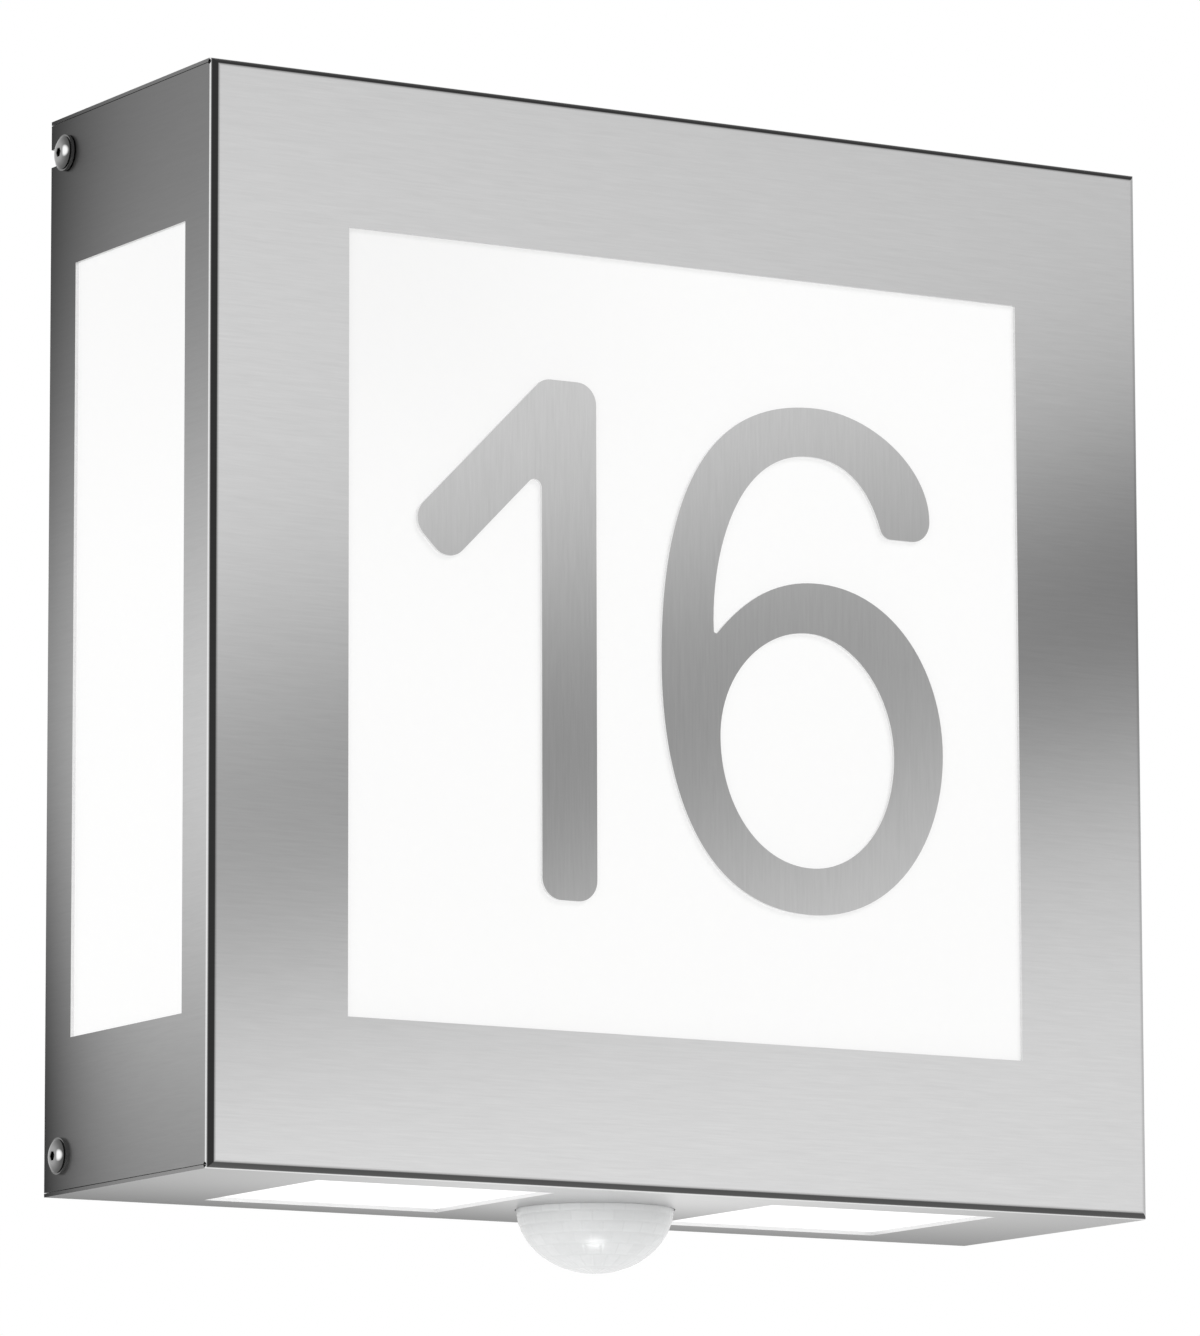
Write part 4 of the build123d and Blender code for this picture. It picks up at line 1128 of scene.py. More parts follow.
@dataclass(frozen=True)
class StripedLead(Finish):
    """Green insulation with a yellow stripe along it."""

    roughness: float = 0.35
    stripe: Triple = (0.78, 0.66, 0.05)
    stripe_edge: tuple[Row, ...] = ((0.46, 0.0), (0.50, 1.0))

    def dress(self, surface: Surface) -> None:
        """Stripe the sides that face up and to the right.

        Args:
            surface: The surface to dress.
        """
        graph = surface.graph
        facing = graph.axes(surface.normal)
        turn = graph.math("ADD", facing["X"], facing["Z"])
        share = graph.ramp(graph.math("MULTIPLY_ADD", turn, 0.5, 0.5), self.stripe_edge)
        # A Mix node has its two colours at inputs 6 and 7, and the mixed one at output 2.
        mixed = graph.node("ShaderNodeMix", data_type="RGBA")
        graph.feed(mixed.inputs["Factor"], share)
        graph.feed(mixed.inputs[6], (*self.colour, 1.0))
        graph.feed(mixed.inputs[7], (*self.stripe, 1.0))
        surface.feed("Base Color", mixed.outputs[2])


@dataclass(frozen=True)
class FloorPaper(Finish):
    """Pale paper floor that keeps shadows and lets a camera below it look through."""

    lift: float = 0.40

    def dress(self, surface: Surface) -> None:
        """Lift the paper towards white where it is seen, and clear it from below.

        Args:
            surface: The surface to dress.
        """
        graph = surface.graph
        surface.feed("Emission Color", graph.tint(graph.seen(), (self.lift, self.lift, self.lift)))
        surface.feed("Emission Strength", 1.0)
        side = graph.node("ShaderNodeNewGeometry")
        clear = graph.node("ShaderNodeBsdfTransparent")
        either = graph.node("ShaderNodeMixShader")
        graph.feed(either.inputs[0], side.outputs["Backfacing"])
        graph.feed(either.inputs[1], surface.shader.outputs[0])
        graph.feed(either.inputs[2], clear.outputs[0])
        graph.feed(surface.output.inputs["Surface"], either.outputs[0])


FINISHES: dict[str, Finish] = {
    "cover_steel": CoverSteel("brushed_cover_steel_painted_reflections", (1.0, 1.0, 1.002)),
    "numeral_steel": NumeralSteel("brushed_numeral_steel_painted_reflections", (1.0, 1.0, 1.0)),
    "opal_pane": OpalPane("lit_opal_acrylic"),
    "screw_steel": SheetMetal("turned_screw_steel", (0.62, 0.62, 0.63), roughness=0.16, spread=0.06),
    "fixing_zinc": SheetMetal("bright_zinc", (0.66, 0.67, 0.70), roughness=0.28),
    "plate_zinc": SheetMetal(
        "galvanised_plate", (0.55, 0.56, 0.57), roughness=0.42, flakes=130.0, flake_spread=0.11,
    ),
    "gasket_foam": Moulded(
        "closed_cell_foam", (0.035, 0.035, 0.037), roughness=0.85, bump=0.6, spread=0.3, specular=0.3,
    ),
    "grommet_rubber": Moulded("soft_black_rubber", (0.022, 0.022, 0.024), roughness=0.55, spread=0.15),
    "tray_white": Moulded("white_powder_coat", (0.86, 0.86, 0.85), roughness=0.38, bump=0.5, speck=2200.0),
    "board_white": Board("white_lamp_board", (0.84, 0.85, 0.83)),
    "chip_yellow": Moulded("chip_phosphor", (0.86, 0.68, 0.16), roughness=0.30, bump=0.0),
    "connector_white": Moulded("connector_nylon", (0.80, 0.80, 0.77)),
    "driver_white": Moulded("driver_case", (0.78, 0.78, 0.76), bump=0.5),
    "terminal_white": Moulded("terminal_nylon", (0.84, 0.84, 0.80)),
    "lead_blue": Moulded("blue_insulation", (0.03, 0.14, 0.50), roughness=0.33),
    "lead_brown": Moulded("brown_insulation", (0.20, 0.075, 0.03), roughness=0.33),
    "lead_earth": StripedLead("earth_insulation", (0.04, 0.30, 0.06)),
    "lead_red": Moulded("red_insulation", (0.55, 0.03, 0.02), roughness=0.33),
    "cable_grey": Moulded("grey_sheath", (0.30, 0.31, 0.32), roughness=0.5),
    "brass": SheetMetal("plain_brass", (0.80, 0.62, 0.30), roughness=0.25),
    "dome_white": LensPlastic("milky_lens_painted_shade"),
    "housing_grey": Moulded("sensor_housing_plastic", (0.68, 0.69, 0.69), bump=0.5),
    "board_green": Board(
        "green_board", (0.035, 0.20, 0.08), land_length=5.5 * MM, land_width=1.9 * MM, gap_depth=0.35,
        spread=0.25,
    ),
    "detector_metal": SheetMetal("nickel_can", (0.72, 0.70, 0.66), roughness=0.2),
    "trimmer_blue": Moulded("trimmer_plastic", (0.03, 0.09, 0.38)),
    "dial_orange": Moulded("dial_plastic", (0.80, 0.24, 0.03)),
    "plug_white": Moulded("plug_nylon", (0.80, 0.80, 0.75)),
}

# Side screws and washers carry painted reflection rings and a painted highlight.
SIDE_SCREW = TurnedSteel("side_screw_steel_painted_highlight", (1.0, 1.0, 1.0))
SIDE_WASHER = TurnedSteel(
    "side_washer_steel_painted_reflections", (1.0, 1.0, 1.0), rings=((0.0, 0.30), (0.5, 0.22), (0.97, 0.16)),
)
NODE_FINISHES: dict[str, Finish] = {"upper_washers": SIDE_WASHER, "lower_washers": SIDE_WASHER}
CHIP_FRAME = Moulded("chip_frame", (0.88, 0.88, 0.86), bump=0.1)
LABEL_PAPER = Moulded("driver_label", (0.70, 0.71, 0.72), roughness=0.5, bump=0.1)
# Near black: painted shade in the connectors' wire holes, and the dark lid seam of the driver.
HOLE_SHADE_AND_SEAM = Moulded("painted_hole_shade_and_dark_seam", (0.02, 0.02, 0.02), roughness=0.7)
PALE_FLOOR = FloorPaper("pale_floor", (0.90, 0.90, 0.895), roughness=0.9, specular=0.1)


# --- Meshes ------------------------------------------------------------------------------------------


def link(name: str, mesh: bpy.types.Mesh, slot: str, body: Body, finishes: Sequence[Finish] = ()) -> Piece:
    """Make an object that rides on a body.

    Args:
        name: Name of the piece.
        mesh: Its mesh, in the CAD frame.
        slot: Material slot of the record that it takes its finish from.
        body: Body that it rides on.
        finishes: Finishes by face index, where there is more than the slot's own.

    Returns:
        The new piece.
    """
    made = bpy.data.objects.new(name, mesh)
    bpy.context.scene.collection.objects.link(made)
    for finish in finishes or (FINISHES[slot],):
        mesh.materials.append(finish.material())
    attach(made, body.value)
    LOG.info("%s: %d faces on %s", name, len(mesh.polygons), body.value)
    return made


def mesh_from(name: str, form: Form) -> bpy.types.Mesh:
    """Turn a form into a mesh with outward faces, shaded smooth between its arrises.

    Args:
        name: Name of the mesh.
        form: The form, which is freed.

    Returns:
        The mesh.
    """
    bmesh.ops.recalc_face_normals(form, faces=form.faces)
    for face in form.faces:
        face.smooth = True
    for edge in form.edges:
        if len(edge.link_faces) == 2 and edge.calc_face_angle(0.0) > ARRIS:
            edge.smooth = False
    mesh = bpy.data.meshes.new(name)
    form.to_mesh(mesh)
    form.free()
    return mesh


def solids_of(node: str) -> list[Box]:
    """Find the boxes of the separate solids in a CAD node.

    Args:
        node: Name of the node.

    Returns:
        Lowest and highest corner of each solid, sorted by corner.
    """
    form = bmesh.new()
    form.from_mesh(bpy.data.objects[node].data)
    bmesh.ops.remove_doubles(form, verts=form.verts, dist=MERGE)
    left = set(form.verts)
    boxes: list[Box] = []
    while left:
        places = []
        waiting = [left.pop()]
        while waiting:
            vertex = waiting.pop()
            places.append(vertex.co)
            for edge in vertex.link_edges:
                other = edge.other_vert(vertex)
                if other in left:
                    left.discard(other)
                    waiting.append(other)
        low = Vector([min(place[axis] for place in places) for axis in range(3)])
        high = Vector([max(place[axis] for place in places) for axis in range(3)])
        boxes.append((low, high))
    form.free()
    return sorted(boxes, key=lambda box: tuple(round(value, 5) for value in box[0]))


def turned(
    form: Form, rows: Sequence[Row], steps: int, place: Matrix,
    shape: Callable[[float, int], Row] | None = None,
) -> Faces:
    """Add a turned surface.

    Args:
        form: Form that takes the surface.
        rows: Radius and height of each row, from one end to the other.
        steps: Points round each row.
        place: Where the turning axis stands, as its Z axis.
        shape: Optional shape, which gives radius and height for an angle and a row's index.

    Returns:
        The new faces.
    """
    rings = []
    for index, (radius, height) in enumerate(rows):
        if radius <= 0:
            rings.append([form.verts.new(place @ Vector((0, 0, height)))])
            continue
        ring = []
        for step in range(steps):
            angle = 2 * math.pi * step / steps
            out, along = shape(angle, index) if shape else (radius, height)
            ring.append(form.verts.new(place @ Vector((out * math.cos(angle), out * math.sin(angle), along))))
        rings.append(ring)
    faces = []
    for first, second in zip(rings, rings[1:]):
        for step in range(steps):
            after = (step + 1) % steps
            rim = (
                first[step % len(first)], first[after % len(first)],
                second[after % len(second)], second[step % len(second)],
            )
            unique = list(dict.fromkeys(rim))
            if len(unique) > 2:
                faces.append(form.faces.new(unique))
    return faces


def closed_ring(section: Sequence[Row], steps: int, place: Matrix) -> Form:
    """Turn a section that closes on itself.

    Args:
        section: Its points, as radius and height.
        steps: Points round the ring.
        place: Where the turning axis stands, as its Z axis.

    Returns:
        The ring's form.
    """
    form = bmesh.new()
    turned(form, [*section, section[0]], steps, place)
    bmesh.ops.remove_doubles(form, verts=form.verts, dist=MERGE)
    return form


def corner_walk(
    half_width: float, half_height: float, radius: float, steps: int,
) -> list[tuple[Vector, Vector]]:
    """Walk round the corners of a rounded rectangle.

    Args:
        half_width: Half its width.
        half_height: Half its height.
        radius: Radius of its corners.
        steps: Faces across each corner.

    Returns:
        The centre of the corner and the direction away from it, for each point.
    """
    walk = []
    for side, level, start in ((1, 1, 0), (-1, 1, 90), (-1, -1, 180), (1, -1, 270)):
        centre = Vector((side * (half_width - radius), level * (half_height - radius)))
        for index in range(steps + 1):
            turn = math.radians(start + 90 * index / steps)
            walk.append((centre, Vector((math.cos(turn), math.sin(turn)))))
    return walk


def rounded_block(form: Form, low: Vector, high: Vector, radius: float, segments: int = 3) -> Faces:
    """Add a block with rounded edges.

    Args:
        form: Form that takes the block.
        low: Lowest corner.
        high: Highest corner.
        radius: Radius of its edges.
        segments: Faces across each rounded edge.

    Returns:
        The new faces.
    """
    before = set(form.faces)
    size = high - low
    place = Matrix.Translation((low + high) / 2) @ Matrix.Diagonal((*size, 1.0))
    block = bmesh.ops.create_cube(form, size=1.0, matrix=place)
    edges = {edge for vertex in block["verts"] for edge in vertex.link_edges}
    bmesh.ops.bevel(form, geom=list(edges), offset=radius, segments=segments, profile=0.5, affect="EDGES")
    return [face for face in form.faces if face not in before]


def across(direction: Vector, origin: Vector) -> Matrix:
    """Stand a turning axis in its place.

    Args:
        direction: Where the axis points.
        origin: Where it starts.

    Returns:
        The place, whose Z axis is the turning axis.
    """
    turn = direction.to_track_quat("Z", "Y").to_matrix().to_4x4()
    return Matrix.Translation(origin) @ turn


def paint(faces: Faces, index: int) -> None:
    """Give faces one of their piece's finishes."""
    for face in faces:
        face.material_index = index


# --- Sub-assemblies ----------------------------------------------------------------------------------


@dataclass
class LensDome:
    """Thin dome of the motion sensor, moulded as tiers of small lenses."""

    radius: float = 22 * MM
    drop: float = 18.6 * MM
    wall: float = 1.2 * MM
    flange_radius: float = 25 * MM
    edge: float = 0.2 * MM
    steps: int = 264
    outer_rows: int = 96
    inner_rows: int = 32
    groove: float = 0.07 * MM
    groove_width: float = 0.28 * MM
    facet_share: float = 0.16
    settle: float = math.radians(4.0)

    def build(self) -> None:
        """Build the dome over its CAD solid."""
        low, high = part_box("sensor_dome")
        axis = Vector(((low.x + high.x) / 2, (low.y + high.y) / 2, 0.0))
        level = low.z + self.drop
        inner = self.arc(self.radius - self.wall, self.drop - self.wall, level, self.inner_rows)
        smooth = [*reversed(inner), *self.flange(high.z)]
        rows = [*smooth, *self.arc(self.radius, self.drop, level, self.outer_rows)]

        def shape(angle: float, index: int) -> Row:
            """Sink the outside round its lenses.

            Args:
                angle: Angle round the dome.
                index: Index of the row.

            Returns:
                Radius and height there.
            """
            radius, height = rows[index]
            if index < len(smooth):
                return radius, height
            lean = math.pi / 2 * (index - len(smooth)) / self.outer_rows
            sink = self.sink(angle, radius, level - height, lean)
            return radius - sink * math.cos(lean), height + sink * math.sin(lean)

        form = bmesh.new()
        turned(form, rows, self.steps, Matrix.Translation(axis), shape)
        piece = link("lens_dome", mesh_from("lens_dome", form), "dome_white", Body.COVER)
        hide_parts("sensor_dome")

    def arc(self, radius: float, drop: float, level: float, count: int) -> list[Row]:
        """Work out one side of the dome's wall, from its widest row down to its tip.

        Args:
            radius: Widest radius.
            drop: How far the tip lies below the widest row.
            level: Height of the widest row.
            count: How many rows lie above the tip.

        Returns:
            Radius and height of each row.
        """
        turns = [math.pi / 2 * index / count for index in range(count)]
        rows = [(radius * math.cos(turn), level - drop * math.sin(turn)) for turn in turns]
        return [*rows, (0.0, level - drop)]

    def flange(self, top: float) -> list[Row]:
        """Work out the flange that the seal presses on, with soft edges.

        Args:
            top: Height of its upper face.

        Returns:
            Radius and height of each row.
        """
        rim, under = self.flange_radius, top - self.wall
        return [
            (self.radius - self.wall, top), (rim - self.edge, top), (rim, top - self.edge),
            (rim, under + self.edge), (rim - self.edge, under), (self.radius, under),
        ]

    def sink(self, angle: float, radius: float, fall: float, lean: float) -> float:
        """Work out how deep the outside lies below the plain dome.

        Args:
            angle: Angle round the dome.
            radius: Radius of the plain dome there.
            fall: How far the point lies below the widest row.
            lean: How far the surface leans over, from 0 at the widest row.

        Returns:
            The depth of the groove and of the lens's flat face together.
        """
        tier, beyond = divmod(fall / TIERS.height, 1.0)
        pitch = 2 * math.pi / TIERS.facets
        shift = pitch / 2 if tier % 2 == 0 else 0.0
        offset = (angle + math.pi / 2 + shift) % pitch - pitch / 2
        joint = min(min(beyond, 1 - beyond) * TIERS.height, (pitch / 2 - abs(offset)) * radius)
        sink = self.groove * math.exp(-(joint / self.groove_width) ** 2)
        sink += self.facet_share * radius * (1 - math.cos(pitch / 2) / math.cos(offset)) * math.cos(lean)
        return sink * min(1.0, lean / self.settle)


@dataclass
class SideScrews:
    """Button head screws that hold the cover, one near each corner of the sides."""

    solid_head: float = 2.2 * MM
    head_radius: float = 4.6 * MM
    head_height: float = 1.5 * MM
    crown_share: float = 0.30
    crown_steps: int = 12
    rim: float = 0.32 * MM
    chamfer: float = 0.12 * MM
    socket: float = 2.3 * MM
    socket_depth: float = 1.0 * MM
    socket_tip: float = 0.25 * MM
    shank: float = 2.0 * MM
    pitch: float = 0.7 * MM
    thread: float = 0.28 * MM
    thread_end: float = 0.3 * MM
    turn_rows: int = 6
    steps: int = 72

    def build(self) -> None:
        """Build the upper screws on the base and the lower screws on the cover."""
        for node, body in (("upper_screws", Body.BASE), ("lower_screws", Body.COVER)):
            for low, high in solids_of(node):
                side = "right" if low.x > 0 else "left"
                piece = self.screw(f"{node[:-1]}_{side}", low, high, body)
                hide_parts(node)

    def screw(self, name: str, low: Vector, high: Vector, body: Body) -> Piece:
        """Build one screw in the box of its CAD solid.

        Args:
            name: Name of the piece.
            low: Lowest corner of the solid.
            high: Highest corner of the solid.
            body: Body that it rides on.

        Returns:
            The screw.
        """
        outward = Vector((1.0 if low.x > 0 else -1.0, 0.0, 0.0))
        head_end = high.x if low.x > 0 else low.x
        middle = (low + high) / 2
        seat = Vector((head_end, middle.y, middle.z)) - outward * self.solid_head
        length = high.x - low.x - self.solid_head
        socket = self.socket_rows()
        head = [*socket, *self.head_rows()]
        count = int(length / self.pitch * self.turn_rows)
        shank = [(self.shank, -length * index / count) for index in range(1, count + 1)]
        rows = [*head, *shank, (self.shank - self.thread - self.thread_end, -length), (0.0, -length)]

        def shape(angle: float, index: int) -> Row:
            """Give the socket its six sides and the shank its thread.

            Args:
                angle: Angle round the screw.
                index: Index of the row.

            Returns:
                Radius and height there.
            """
            radius, height = rows[index]
            if index < len(socket):
                flat = math.pi / 3
                return radius / math.cos(angle % flat - flat / 2), height
            if 0 <= index - len(head) < count:
                turn = (height / self.pitch + angle / (2 * math.pi)) % 1.0
                fade = min(1.0, -height / self.pitch)
                return radius - self.thread * fade * abs(2 * turn - 1), height
            return radius, height

        form = bmesh.new()
        turned(form, rows, self.steps, across(outward, seat), shape)
        return link(name, mesh_from(name, form), "screw_steel", body, (SIDE_SCREW,))

    def socket_rows(self) -> list[Row]:
        """Work out the socket, from its drilled tip to its chamfered mouth.

        Returns:
            Radius and height of each row.
        """
        half, top = self.socket / 2, self.head_height
        return [
            (0.0, top - self.socket_depth - self.socket_tip), (half, top - self.socket_depth),
            (half, top - self.chamfer), (half + self.chamfer, top),
        ]

    def head_rows(self) -> list[Row]:
        """Work out the head, from its flat crown over the dome to its seat.

        Returns:
            Radius and height of each row.
        """
        top, crown = self.head_height, self.head_radius * self.crown_share
        rows = []
        for index in range(self.crown_steps + 1):
            share = index / self.crown_steps
            radius = crown + (self.head_radius - crown) * share
            rows.append((radius, top - (top - self.rim) * share ** 2))
        edge = [(self.head_radius, self.chamfer), (self.head_radius - self.chamfer, 0.0)]
        return [*rows, *edge, (self.shank, 0.0)]


@dataclass
class FoamFrame:
    """Foam frame between the back plate and the wall."""

    width: float = 10.0 * MM
    corner: float = 3.0 * MM
    corner_steps: int = 6
    edge: float = 0.9 * MM
    edge_steps: int = 4

    def build(self) -> None:
        """Build the frame over its CAD solid, with rounded edges and corners."""
        low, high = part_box("wall_gasket")
        form = bmesh.new()
        rings = []
        for centre, heading in corner_walk(
            high.x - self.width, high.z - self.width, self.corner, self.corner_steps,
        ):
            ring = []
            for out, up in self.section(high.y - low.y):
                place = centre + heading * (self.corner + out)
                ring.append(form.verts.new((place.x, low.y + up, place.y)))
            rings.append(ring)
        for first, second in zip(rings, rings[1:] + rings[:1]):
            for index, vertex in enumerate(first):
                after = (index + 1) % len(first)
                form.faces.new((vertex, first[after], second[after], second[index]))
        piece = link("foam_frame", mesh_from("foam_frame", form), "gasket_foam", Body.BASE)
        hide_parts("wall_gasket")

    def section(self, depth: float) -> list[Row]:
        """Work out the frame's section.

        Args:
            depth: How thick the foam is.

        Returns:
            Distance from the inner edge and height over the rear face, for each point.
        """
        half_width, half_depth = self.width / 2, depth / 2
        rows = []
        for centre, heading in corner_walk(half_width, half_depth, self.edge, self.edge_steps):
            place = centre + heading * self.edge
            rows.append((half_width + place.x, half_depth + place.y))
        return rows


@dataclass
class CableGrommet:
    """Rubber grommet in the back plate's cable hole, with two lips and a waist.

    The shoulder's points lie in from the front lip's radius, and the mouth's point lies out from the bore;
    the second number of each is how far it lies back from the front end.
    """

    bore: float = 4.5 * MM
    waist: float = 8.0 * MM
    rear: float = 10.0 * MM
    front: float = 11.0 * MM
    rear_lip: float = 1.8 * MM
    plate: float = 1.5 * MM
    edge: float = 0.6 * MM
    edge_share: float = 0.15
    lip_edge: float = 0.3 * MM
    shoulder: tuple[Row, ...] = ((0.0, 1.6 * MM), (0.5 * MM, 0.9 * MM), (1.6 * MM, 0.5 * MM))
    mouth: Row = (1.6 * MM, 0.15 * MM)
    steps: int = 96

    def build(self) -> None:
        """Build the grommet over its CAD solid."""
        low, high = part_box("cable_grommet")
        axis = across(FRONTWARD, Vector(((low.x + high.x) / 2, high.y, (low.z + high.z) / 2)))
        form = closed_ring(self.section(high.y - low.y), self.steps, axis)
        piece = link("rubber_grommet", mesh_from("rubber_grommet", form), "grommet_rubber", Body.BASE)
        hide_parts("cable_grommet")

    def section(self, depth: float) -> list[Row]:
        """Work out the grommet's section, from the rear round the outside and back through the bore.

        Args:
            depth: Length of the grommet.

        Returns:
            Radius and height of each point.
        """
        bore, rear, front, edge = self.bore, self.rear, self.front, self.edge
        soft, lip = self.edge_share * edge, self.lip_edge
        seat = self.rear_lip + self.plate
        return [
            (bore + edge, 0.0), (rear - edge, 0.0), (rear - soft, soft), (rear, edge),
            (rear, self.rear_lip - lip), (rear - lip, self.rear_lip),
            (self.waist, self.rear_lip), (self.waist, seat), (front - lip, seat), (front, seat + lip),
            *((front - inset, depth - fall) for inset, fall in self.shoulder),
            (bore + self.mouth[0], depth - self.mouth[1]), (bore + edge, depth),
            (bore + soft, depth - soft), (bore, depth - edge), (bore, edge), (bore + soft, soft),
        ]


@dataclass
class SealingRing:
    """Foam ring that seals the sensor's dome against the cover."""

    bore: float = 22.3 * MM
    edge_share: float = 0.3
    steps: int = 96

    def build(self) -> None:
        """Build the ring over its CAD solid, with soft edges."""
        low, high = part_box("dome_seal")
        axis = Matrix.Translation(Vector(((low.x + high.x) / 2, (low.y + high.y) / 2, low.z)))
        bore, outer, height = self.bore, (high.x - low.x) / 2, high.z - low.z
        edge = height * self.edge_share
        section = [
            (bore + edge, 0.0), (outer - edge, 0.0), (outer, edge), (outer, height - edge),
            (outer - edge, height), (bore + edge, height), (bore, height - edge), (bore, edge),
        ]
        form = closed_ring(section, self.steps, axis)
        piece = link("sealing_ring", mesh_from("sealing_ring", form), "gasket_foam", Body.COVER)
        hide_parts("dome_seal")


@dataclass
class LampChips:
    """Light emitting chips on the boards, each a white frame round a domed phosphor.

    The dome's rows are a share of its radius and a height over the frame's front.
    """

    edge: float = 0.25 * MM
    rise: float = 0.12 * MM
    radius: float = 2.05 * MM
    dome: tuple[Row, ...] = (
        (1.0, -0.05 * MM), (1.0, 0.04 * MM), (0.92, 0.10 * MM), (0.6, 0.115 * MM), (0.0, 0.12 * MM),
    )
    steps: int = 28

    def build(self) -> None:
        """Build the chips over their CAD solids."""
        form = bmesh.new()
        rows = [(self.radius * share, height) for share, height in self.dome]
        for low, high in solids_of("led_chips"):
            front = low.y + self.rise
            paint(rounded_block(form, Vector((low.x, front, low.z)), high, self.edge), 0)
            axis = across(FRONTWARD, Vector(((low.x + high.x) / 2, front, (low.z + high.z) / 2)))
            paint(turned(form, rows, self.steps, axis), 1)
        finishes = (CHIP_FRAME, FINISHES["chip_yellow"])
        piece = link("lamp_chips", mesh_from("lamp_chips", form), "chip_yellow", Body.BASE, finishes)
        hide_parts("led_chips")


@dataclass
class LampConnectors:
    """Push-in connectors on the boards, each with two release buttons and its wire holes, which are dark
    discs of painted shade.
    """

    edge: float = 0.5 * MM
    button_rise: float = 0.5 * MM
    button_root: float = 0.4 * MM
    button_edge: float = 0.3 * MM
    button_place: float = 2.0 * MM
    button_half: Row = (1.3 * MM, 1.6 * MM)
    hole_radius: float = 1.15 * MM
    hole_sink: float = 0.3 * MM
    hole_rise: float = 0.02 * MM
    hole_steps: int = 20

    def build(self) -> None:
        """Build the connectors over their CAD solids."""
        form = bmesh.new()
        for low, high in solids_of("led_connectors"):
            front = low.y + self.button_rise
            paint(rounded_block(form, Vector((low.x, front, low.z)), high, self.edge), 0)
            middle = (low + high) / 2
            for x in (middle.x - self.button_place, middle.x + self.button_place):
                self.button(form, Vector((x, low.y, middle.z)))
                self.hole(form, Vector((x, middle.y, low.z)), Vector((0.0, 0.0, -1.0)))
                self.hole(form, Vector((x, middle.y, high.z)), Vector((0.0, 0.0, 1.0)))
        # The second finish paints shade in the wire holes.
        finishes = (FINISHES["connector_white"], HOLE_SHADE_AND_SEAM)
        mesh = mesh_from("lamp_connectors", form)
        piece = link("lamp_connectors", mesh, "connector_white", Body.BASE, finishes)
        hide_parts("led_connectors")

    def button(self, form: Form, place: Vector) -> None:
        """Add a release button.

        Args:
            form: Form that takes the button.
            place: Middle of its front face.
        """
        half_width, half_height = self.button_half
        low = place - Vector((half_width, 0.0, half_height))
        high = place + Vector((half_width, self.button_rise + self.button_root, half_height))
        paint(rounded_block(form, low, high, self.button_edge), 0)

    def hole(self, form: Form, place: Vector, outward: Vector) -> None:
        """Add a wire hole, whose mouth is a dark disc of painted shade.

        Args:
            form: Form that takes the hole.
            place: Its middle, on the connector's end.
            outward: Where that end faces.
        """
        radius, rise = self.hole_radius, self.hole_rise
        rows = [(radius, -self.hole_sink), (radius, rise), (0.0, rise)]
        paint(turned(form, rows, self.hole_steps, across(outward, place)), 1)


@dataclass
class DriverTrim:
    """Blank label and lid seam of the driver."""

    tab: float = 9.0 * MM
    label_margin: float = 7.0 * MM
    label_thickness: float = 0.2 * MM
    label_sink: float = 0.3 * MM
    label_edge: float = 0.15 * MM
    seam: float = 0.35 * MM
    seam_level: float = 6.0 * MM
    seam_reach: float = 0.08 * MM
    seam_edge: float = 0.05 * MM

    def build(self) -> None:
        """Build the label and the seam on the driver's case, which lies between its two tabs."""
        low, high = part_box("led_driver")
        case_low = Vector((low.x + self.tab, low.y, low.z))
        case_high = Vector((high.x - self.tab, high.y, high.z))
        self.label(case_low, case_high)
        self.lid_seam(case_low, case_high)

    def label(self, low: Vector, high: Vector) -> None:
        """Build the label on the front of the case.

        Args:
            low: Lowest corner of the case.
            high: Highest corner of the case.
        """
        margin = self.label_margin
        form = bmesh.new()
        rounded_block(
            form, Vector((low.x + 2 * margin, low.y - self.label_thickness, low.z + margin)),
            Vector((high.x - 2 * margin, low.y + self.label_sink, high.z - margin)), self.label_edge, 2,
        )
        link("driver_label", mesh_from("driver_label", form), "driver_white", Body.BASE, (LABEL_PAPER,))

    def lid_seam(self, low: Vector, high: Vector) -> None:
        """Build the dark seam round the case.

        Args:
            low: Lowest corner of the case.
            high: Highest corner of the case.
        """
        level, reach = low.y + self.seam_level, self.seam_reach
        form = bmesh.new()
        rounded_block(
            form, Vector((low.x - reach, level, low.z - reach)),
            Vector((high.x + reach, level + self.seam, high.z + reach)), self.seam_edge, 1,
        )
        link("driver_seam", mesh_from("driver_seam", form), "driver_white", Body.BASE, (HOLE_SHADE_AND_SEAM,))


# --- Room --------------------------------------------------------------------------------------------


@dataclass(frozen=True)
class Lamp:
    """One soft round studio lamp; a mirrored one shows as a highlight."""

    name: str
    place: Triple
    size: float
    power: float
    mirrored: bool = False


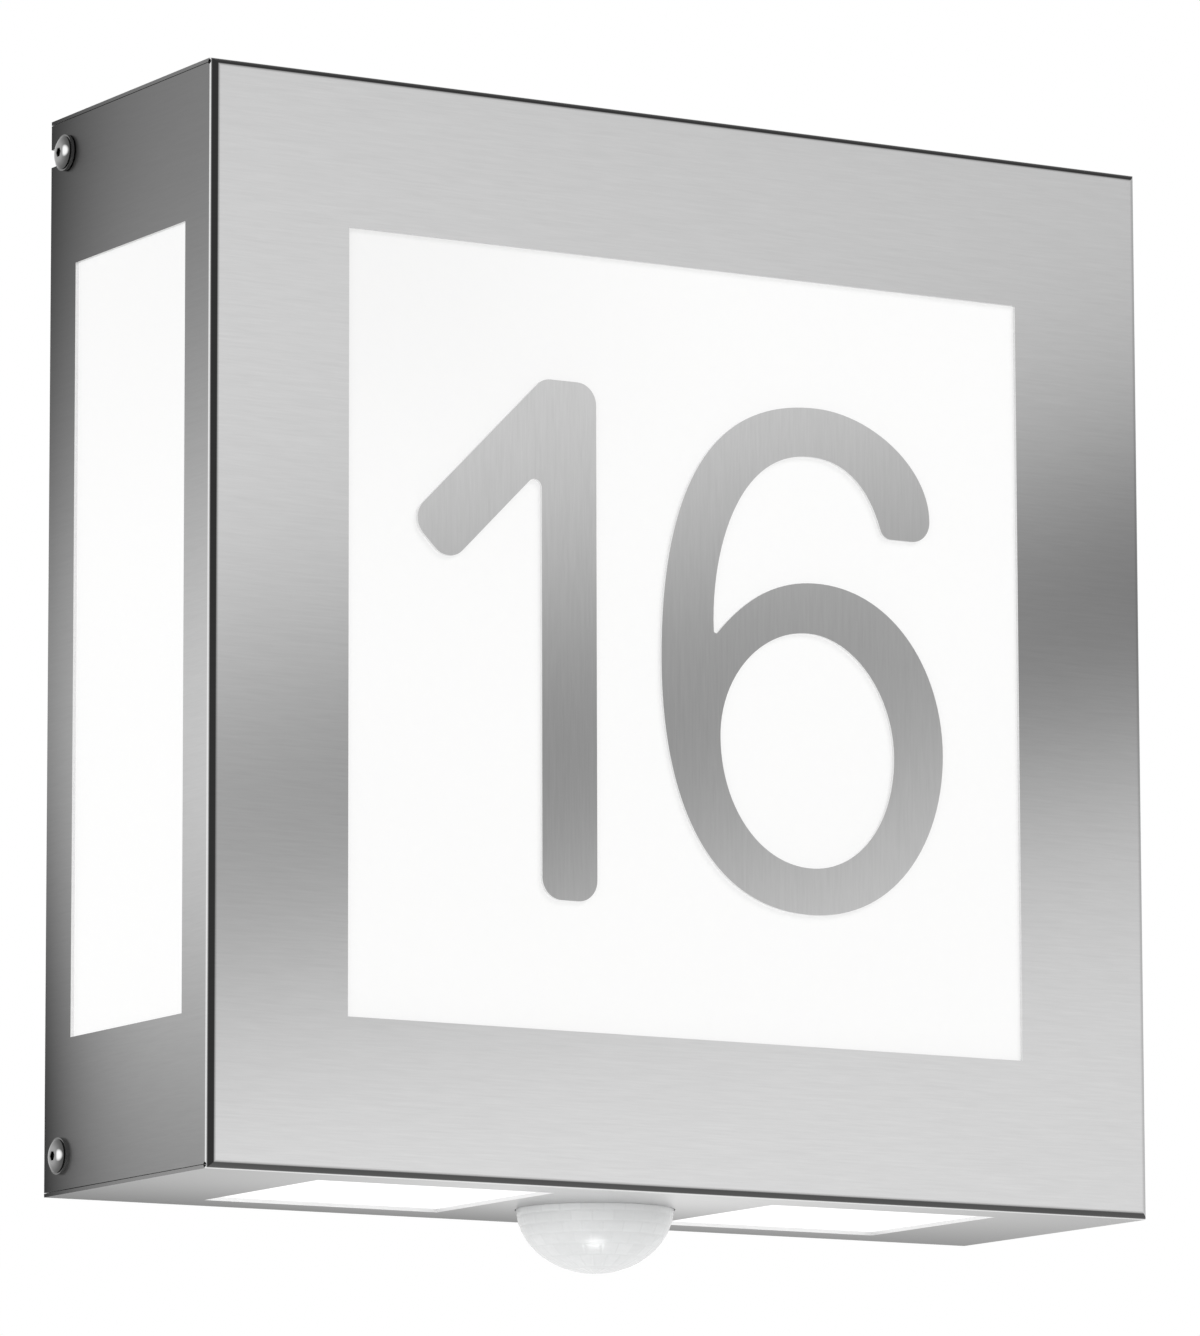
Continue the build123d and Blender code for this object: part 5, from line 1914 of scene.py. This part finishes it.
@dataclass
class Studio:
    """Camera, pale floor, plain world and soft lamps."""

    camera_place: Triple = (-1232.57 * MM, -2104.97 * MM, -378.08 * MM)
    camera_turn: float = math.radians(30.907)
    camera_lift: float = math.radians(8.997)
    camera_roll: float = math.radians(-0.16)
    lens: float = 233.89
    sensor: float = 36.0
    far: float = 200.0
    floor_level: float = -1.6
    floor_half: float = 40.0
    soft_strength: float = 0.62
    lamps: tuple[Lamp, ...] = (
        Lamp("key_lamp", (1.6, -2.2, 2.4), 1.8, 46.0),
        Lamp("fill_lamp", (-2.6, -1.6, 0.6), 2.0, 18.0),
        Lamp("low_lamp", (-0.085, -0.18, -1.15), 0.38, 2.3, mirrored=True),
        Lamp("rear_lamp", (0.8, 2.4, 1.2), 1.8, 24.0),
    )

    def build(self) -> None:
        """Set up everything around the sign."""
        self.camera()
        self.floor()
        self.world()
        for lamp in self.lamps:
            self.lamp(lamp)
        bpy.context.scene.view_settings.view_transform = "Standard"

    def camera(self) -> None:
        """Place the camera where the photograph was taken."""
        turn, lift, roll = self.camera_turn, self.camera_lift, self.camera_roll
        forward = Vector((math.sin(turn) * math.cos(lift), math.cos(turn) * math.cos(lift), math.sin(lift)))
        level = Vector((math.cos(turn), -math.sin(turn), 0.0))
        upright = level.cross(forward)
        right = level * math.cos(roll) + upright * math.sin(roll)
        up = upright * math.cos(roll) - level * math.sin(roll)
        data = bpy.data.cameras.new("photo_camera")
        data.lens = self.lens
        data.sensor_width = self.sensor
        data.clip_end = self.far
        made = bpy.data.objects.new("photo_camera", data)
        bpy.context.scene.collection.objects.link(made)
        turned_view = Matrix((right, up, -forward)).transposed().to_4x4()
        made.matrix_world = Matrix.Translation(self.camera_place) @ turned_view
        bpy.context.scene.camera = made

    def floor(self) -> None:
        """Lay a pale floor well below the sign."""
        half, level = self.floor_half, self.floor_level
        rim = [(-half, -half, level), (half, -half, level), (half, half, level), (-half, half, level)]
        mesh = bpy.data.meshes.new("floor")
        mesh.from_pydata(rim, [], [(0, 1, 2, 3)])
        mesh.materials.append(PALE_FLOOR.material())
        made = bpy.data.objects.new("floor", mesh)
        bpy.context.scene.collection.objects.link(made)

    def world(self) -> None:
        """Light the room evenly, and show white behind the sign."""
        world = bpy.data.worlds.new("plain_room")
        bpy.context.scene.world = world
        world.use_nodes = True
        world.node_tree.nodes.clear()
        graph = Graph(world.node_tree)
        light = graph.node("ShaderNodeBackground")
        graph.feed(light.inputs["Color"], (1.0, 1.0, 1.0, 1.0))
        graph.feed(light.inputs["Strength"], graph.blend(graph.seen(), self.soft_strength, 1.0))
        output = graph.node("ShaderNodeOutputWorld")
        graph.feed(output.inputs["Surface"], light.outputs[0])

    def lamp(self, lamp: Lamp) -> None:
        """Hang one lamp that points at the sign.

        Args:
            lamp: Its place, size and power.
        """
        data = bpy.data.lights.new(lamp.name, "AREA")
        data.shape = "DISK"
        data.size = lamp.size
        data.energy = lamp.power
        made = bpy.data.objects.new(lamp.name, data)
        bpy.context.scene.collection.objects.link(made)
        made.visible_camera = False
        made.visible_glossy = lamp.mirrored
        place = Vector(lamp.place)
        made.matrix_world = Matrix.Translation(place) @ (-place).to_track_quat("-Z", "Y").to_matrix().to_4x4()


def clear_scene() -> None:
    """Empty Blender's opening scene."""
    for made in list(bpy.data.objects):
        bpy.data.objects.remove(made, do_unlink=True)


def dress_solids(frame: dict[str, Any]) -> None:
    """Give every CAD node the finish of its material slot.
    """
    for part in frame["record"]["subparts"]:
        solid = frame["nodes"][part["node"]]
        finish = NODE_FINISHES.get(part["node"], FINISHES[part["material_slot"]])
        for slot in solid.material_slots:
            slot.material = finish.material()
        LOG.info("%s: %s", part["node"], finish.name)


def main() -> None:
    """Build the looks of the sign."""
    logging.basicConfig(level=logging.INFO, format="%(name)s %(message)s")
    clear_scene()
    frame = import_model()
    dress_solids(frame)
    assemblies = (
        LensDome(), SideScrews(), FoamFrame(), CableGrommet(), SealingRing(), LampChips(), LampConnectors(),
        DriverTrim(), Studio(),
    )
    for assembly in assemblies:
        assembly.build()


if __name__ == "__main__":
    main()
